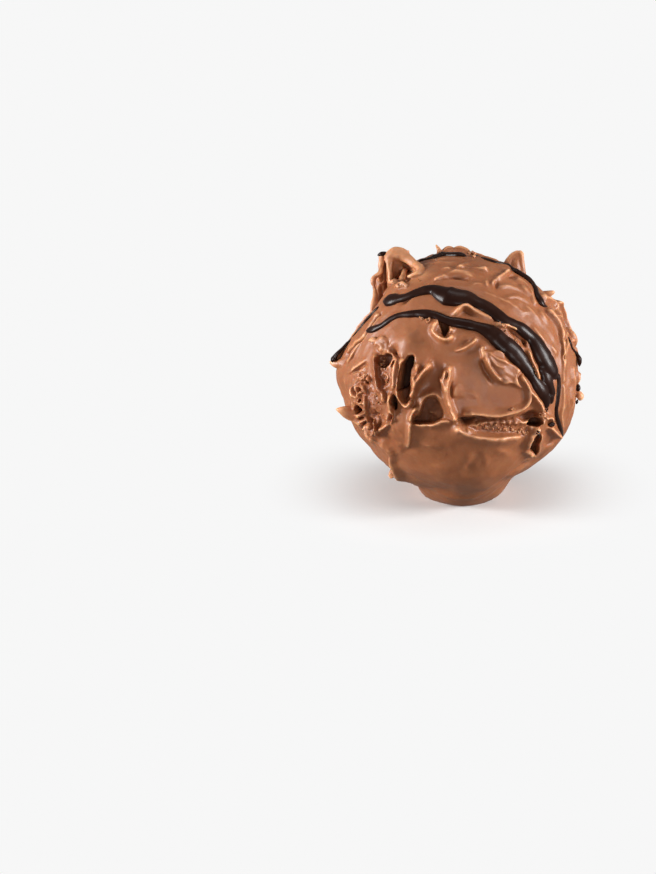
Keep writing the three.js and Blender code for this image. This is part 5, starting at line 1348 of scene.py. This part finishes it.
def crumbTree():
    t, given = newGeometryTree("crumbs", Lumps=crumbs["lumps"] * mm, Lump_size=crumbs["lumpSize"] * mm,
                               Seed=crumbs["seed"])
    lump = t.node("GeometryNodeMeshIcoSphere", Radius=1.0, Subdivisions=3)
    size = t.node("GeometryNodeInputNamedAttribute", dict(data_type="FLOAT"), Name="size")
    drawn = dict(data_type="FLOAT_VECTOR")
    turned = t.node("FunctionNodeRandomValue", drawn, Seed=given["Seed"], Max=(math.tau,) * 3)
    least, most = ((length,) * 3 for length in crumbs["stretch"])
    shape = t.node("FunctionNodeRandomValue", drawn, Seed=given["Seed"], Min=least, Max=most)
    scale = t.vector("SCALE", shape.outputs[0], Scale=size.outputs[0])[0]
    strewn = t.node("GeometryNodeInstanceOnPoints", Points=given["Geometry"], Instance=lump.outputs[0],
                    Rotation=turned.outputs[0], Scale=scale)
    real = t.node("GeometryNodeRealizeInstances", Geometry=strewn.outputs[0])
    place = t.node("GeometryNodeInputPosition").outputs[0]
    fineness = Socket(t, given["Lump size"]).math("POWER", -1)
    cloud = t.node("ShaderNodeTexNoise", Vector=place, Scale=fineness, Detail=1.0)
    push = t.vector("SUBTRACT", cloud.outputs["Color"], (0.5,) * 3)[0]
    push = t.vector("SCALE", push, Scale=Socket(t, given["Lumps"]) * 4)[0]
    rough = t.node("GeometryNodeSetPosition", Geometry=real.outputs[0], Offset=push)
    done = t.node("GeometryNodeSetMaterial", Geometry=rough.outputs[0], Material=given["Material"])
    t.node("NodeGroupOutput", Geometry=done.outputs[0])
    return t.tree


def makeCrumbs(name, groups, coat, finish, group):
    rng = np.random.default_rng(crumbs["seed"])
    tree = BVHTree.FromObject(coat, bpy.context.evaluated_depsgraph_get())
    places, sizes = [], []
    for strewn in groups:
        line = smoothLine(np.array(strewn["path"], float), 0.1)
        axes = sideAxes(strewn["turn"])
        for _ in range(strewn["count"]):
            u, v = line[rng.integers(len(line))] + rng.normal(0, crumbs["scatter"], 2) * strewn["aside"]
            start = Vector((u * axes[0] + v * axes[1] + farOut * axes[2] + centre) * mm)
            hit = tree.ray_cast(start, Vector(-axes[2]))
            radius = rng.uniform(*strewn["size"]) * mm
            if hit[0]:
                places.append(hit[0] + hit[1] * radius * crumbs["above"])
                sizes.append(radius)
    thing = meshObject(name, places, [])
    setField(thing.data, "size", sizes)
    thing = grown(thing, group, finish)
    # so the milk crumbs take some of the painted rim highlight
    setField(thing.data, "proud", np.full(len(thing.data.vertices), crumbs["pale"]))
    print(name, len(places), "crumbs", len(thing.data.polygons), "faces")
    return finished(thing, finish)


def newFinish(name):
    finish = bpy.data.materials.new(name)
    finish.use_nodes = True
    finish.node_tree.nodes.clear()
    return finish, Tree(finish.node_tree)


milk = dict(
    body=(0.287, 0.096, 0.036, 1),
    pale=(0.355, 0.14, 0.063, 1),
    # rim: painted highlight and orange glow, put on edges, ridges and crumbs
    rim=(0.88, 0.45, 0.23, 1),
    # warm: painted shade colour, for the shaded patches and the hollows
    warmShade=(0.19, 0.044, 0.011, 1),
    # deep: dark random stains, and painted shade deep in pits
    deep=(0.055, 0.014, 0.004, 1),
    mottles=dict(size=4.5, detail=3.0, begin=0.4, sharp=3, strength=0.4),  # pale areas
    flecks=dict(size=0.7, rough=0.7, begin=0.47, sharp=4, strength=0.3),  # pale
    stains=dict(size=1.7, rough=0.65, begin=0.5, sharp=4, strength=0.16),  # deep
    crest=(22, 0.15),  # how fast fine edges count as such, and from where on
    proud=(8, 0.35),  # the same for broad ridges, hollows and what lies deep in the ball
    # hollow and below are the masks for painted shade in hollows and deep in pits
    hollow=(-5, 0.2),
    below=(-0.75, 0.2),
    fineEdgeHighlight=0.3,  # how strongly fine edges and broad ridges take the rim colour, a painted highlight and orange glow
    broadRidgeHighlight=0.65,
    thin=0.75,  # how strongly the painted-shade patches and the sunk hollows take the warm shade colour
    sunk=0.7,
    roughness=0.43,
    patchy=0.22,  # how much the roughness goes up and down
    dull=0.35,  # added to it deep down
    grain=0.5,  # strength of the fine bumps
    glow=0.25,  # light that goes in and comes out again
    gloss=0.15,  # on fine edges
)


def milkFinish():
    finish, t = newFinish("milk_chocolate")

    def blotches(size, begin, sharp, strength, detail=5.0, rough=0.5):
        return (t.cloud(size, detail, rough) - begin).held(sharp) * strength

    def ramp(name, gain, start):
        return (t.field(name) * gain - start).held()

    colour = t.mix(blotches(**milk["mottles"]), milk["body"], milk["pale"])
    colour = t.mix(blotches(**milk["flecks"]), colour, milk["pale"])
    colour = t.mix(blotches(**milk["stains"]), colour, milk["deep"])
    crest = ramp("crest", *milk["crest"])
    proud = ramp("proud", *milk["proud"])
    # painted highlight and glow: fine edges and broad ridges lightened towards the rim colour
    rims = (crest * milk["fineEdgeHighlight"] + proud * milk["broadRidgeHighlight"]).math("MINIMUM", 1)
    colour = t.mix(rims, colour, milk["rim"])
    # painted shade: the shaded patches darkened towards the warm shade colour
    colour = t.mix(t.field("thin") * milk["thin"], colour, milk["warmShade"])
    colour = t.mix(t.field("thin") * -1, colour, milk["rim"])  # a negative patch is a pale one
    # painted shade: hollows warmed, and what lies deep in pits darkened towards the deep colour
    hollow = ramp("proud", *milk["hollow"])
    below = ramp("level", *milk["below"])
    colour = t.mix(hollow * milk["sunk"], colour, milk["warmShade"])
    colour = t.mix(below, colour, milk["deep"])
    rough = t.cloud(1.2) * milk["patchy"] + (milk["roughness"] - milk["patchy"] / 2) + below * milk["dull"]
    height = t.cloud(0.9, 2.0) * 0.7 + t.cloud(0.25, 3.0) * 0.4
    bump = t.node("ShaderNodeBump", Strength=milk["grain"], Distance=0.09 * mm, Height=height)
    shader = t.node(
        "ShaderNodeBsdfPrincipled",
        dict(subsurface_method="RANDOM_WALK"),
        Base_Color=colour,
        Roughness=rough,
        Normal=bump.outputs[0],
        Subsurface_Weight=milk["glow"],
        Subsurface_Radius=(1.0, 0.35, 0.12),
        Subsurface_Scale=0.35 * mm,
        Coat_Weight=crest * milk["gloss"],
        Coat_Roughness=0.2,
        IOR=1.43,
    )
    t.node("ShaderNodeOutputMaterial", Surface=shader.outputs[0])
    return finish


dark = dict(
    body=(0.014, 0.0035, 0.0015, 1),
    bloom=(0.033, 0.012, 0.007, 1),
    patchSize=2,
    roughness=0.31,
    patchy=0.16,  # how much the roughness goes up and down
    grain=0.2,  # strength of the fine bumps
    shine=0.26,
)


def darkFinish():
    finish, t = newFinish("dark_chocolate")
    patches = t.cloud(dark["patchSize"])
    colour = t.mix((patches - 0.45).held(2), dark["body"], dark["bloom"])
    rough = patches * dark["patchy"] + (dark["roughness"] - dark["patchy"] / 2)
    bump = t.node("ShaderNodeBump", Strength=dark["grain"], Distance=0.08 * mm, Height=t.cloud(0.7, 2.0))
    shader = t.node("ShaderNodeBsdfPrincipled", Base_Color=colour, Roughness=rough,
                    Normal=bump.outputs[0], IOR=1.4, Specular_IOR_Level=dark["shine"])
    t.node("ShaderNodeOutputMaterial", Surface=shader.outputs[0])
    return finish


studio = dict(
    distance=1200,
    frameHeight=102,  # millimetres that the frame's height holds at the ball
    aside=(-15.3, -7.7),  # from the ball's centre to the frame's centre, right and up
    lights=[  # place from the ball's centre, size, watts
        dict(place=(225, -45, 60), size=(60, 130), power=0.88),
        dict(place=(-225, -35, 50), size=(60, 130), power=0.9),
        dict(place=(10, 20, 245), size=(120, 60), power=0.08),
        dict(place=(30, -250, -5), size=(120, 60), power=0.28),
    ],
    sky=0.235,
    floor=0.8,
    glow=0.93,  # of the floor away from the ball
    shade=(6, 24),  # millimetres from the middle between which the floor goes over to glowing
)
white = (1, 1, 1, 1)


def aimAt(thing, place, way):  # put it there, looking that way
    thing.location = place
    thing.rotation_euler = Vector(way).to_track_quat("-Z", "Y").to_euler()


def makeCamera():
    side = sideAxes(0)
    target = centre + studio["aside"][0] * side[0] + studio["aside"][1] * side[1]
    camera = bpy.data.cameras.new("camera")
    camera.sensor_fit = "VERTICAL"
    camera.sensor_height = 36
    camera.lens = camera.sensor_height * studio["distance"] / studio["frameHeight"]
    camera.clip_start = 0.01
    eye = linked("camera", camera)
    aimAt(eye, Vector((target + side[2] * studio["distance"]) * mm), -side[2])
    bpy.context.scene.camera = eye


def makeLights():
    for lamp in studio["lights"]:
        softbox = bpy.data.lights.new("softbox", "AREA")
        softbox.shape = "RECTANGLE"
        softbox.size, softbox.size_y = (length * mm for length in lamp["size"])
        softbox.energy = lamp["power"]
        place = Vector(lamp["place"])
        aimAt(linked("softbox", softbox), place * mm + Vector(centre) * mm, -place)
    world = bpy.data.worlds.new("sky")
    bpy.context.scene.world = world
    world.use_nodes = True
    sky = world.node_tree.nodes["Background"].inputs
    sky["Color"].default_value, sky["Strength"].default_value = white, studio["sky"]


def makeFloor():
    floor = meshObject("floor", [(-3, -3, 0), (3, -3, 0), (3, 3, 0), (-3, 3, 0)], [(0, 1, 2, 3)])
    finish, t = newFinish("floor_paper")
    paper = t.node("ShaderNodeBsdfDiffuse", Color=(studio["floor"],) * 3 + (1,))
    glow = t.node("ShaderNodeEmission", Color=white, Strength=studio["glow"])
    away = t.vector("LENGTH", t.node("ShaderNodeTexCoord").outputs["Object"])["Value"]
    near, far = (distance * mm for distance in studio["shade"])
    share = t.node("ShaderNodeMapRange", dict(interpolation_type="SMOOTHSTEP"), Value=away,
                   From_Min=near, From_Max=far)
    parts = {0: share.outputs[0], 1: paper.outputs[0], 2: glow.outputs[0]}
    blend = t.node("ShaderNodeMixShader", sockets=parts)
    t.node("ShaderNodeOutputMaterial", Surface=blend.outputs[0])
    floor.data.materials.append(finish)
    floor.visible_diffuse = False
    floor.visible_glossy = False


makeCamera()
makeLights()
makeFloor()
bpy.context.scene.view_settings.view_transform = "Standard"
print("studio set")

milkChocolate, darkChocolate = milkFinish(), darkFinish()
coat = makeCoat(milkChocolate)
drizzleStrands = makeDrizzle(coat, darkChocolate)
strewnTree = crumbTree()
paleCrumbs = makeCrumbs("milk_crumbs", milkCrumbs, coat, milkChocolate, strewnTree)
blackCrumbs = makeCrumbs("dark_crumbs", darkCrumbs, coat, darkChocolate, strewnTree)

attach(coat, "root")
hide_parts("coated_ball")
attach(drizzleStrands, "root")
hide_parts("drizzle_front", "drizzle_left", "drizzle_crown", "drizzle_back_upper",
            "drizzle_back_lower")
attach(paleCrumbs, "root")
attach(blackCrumbs, "root")
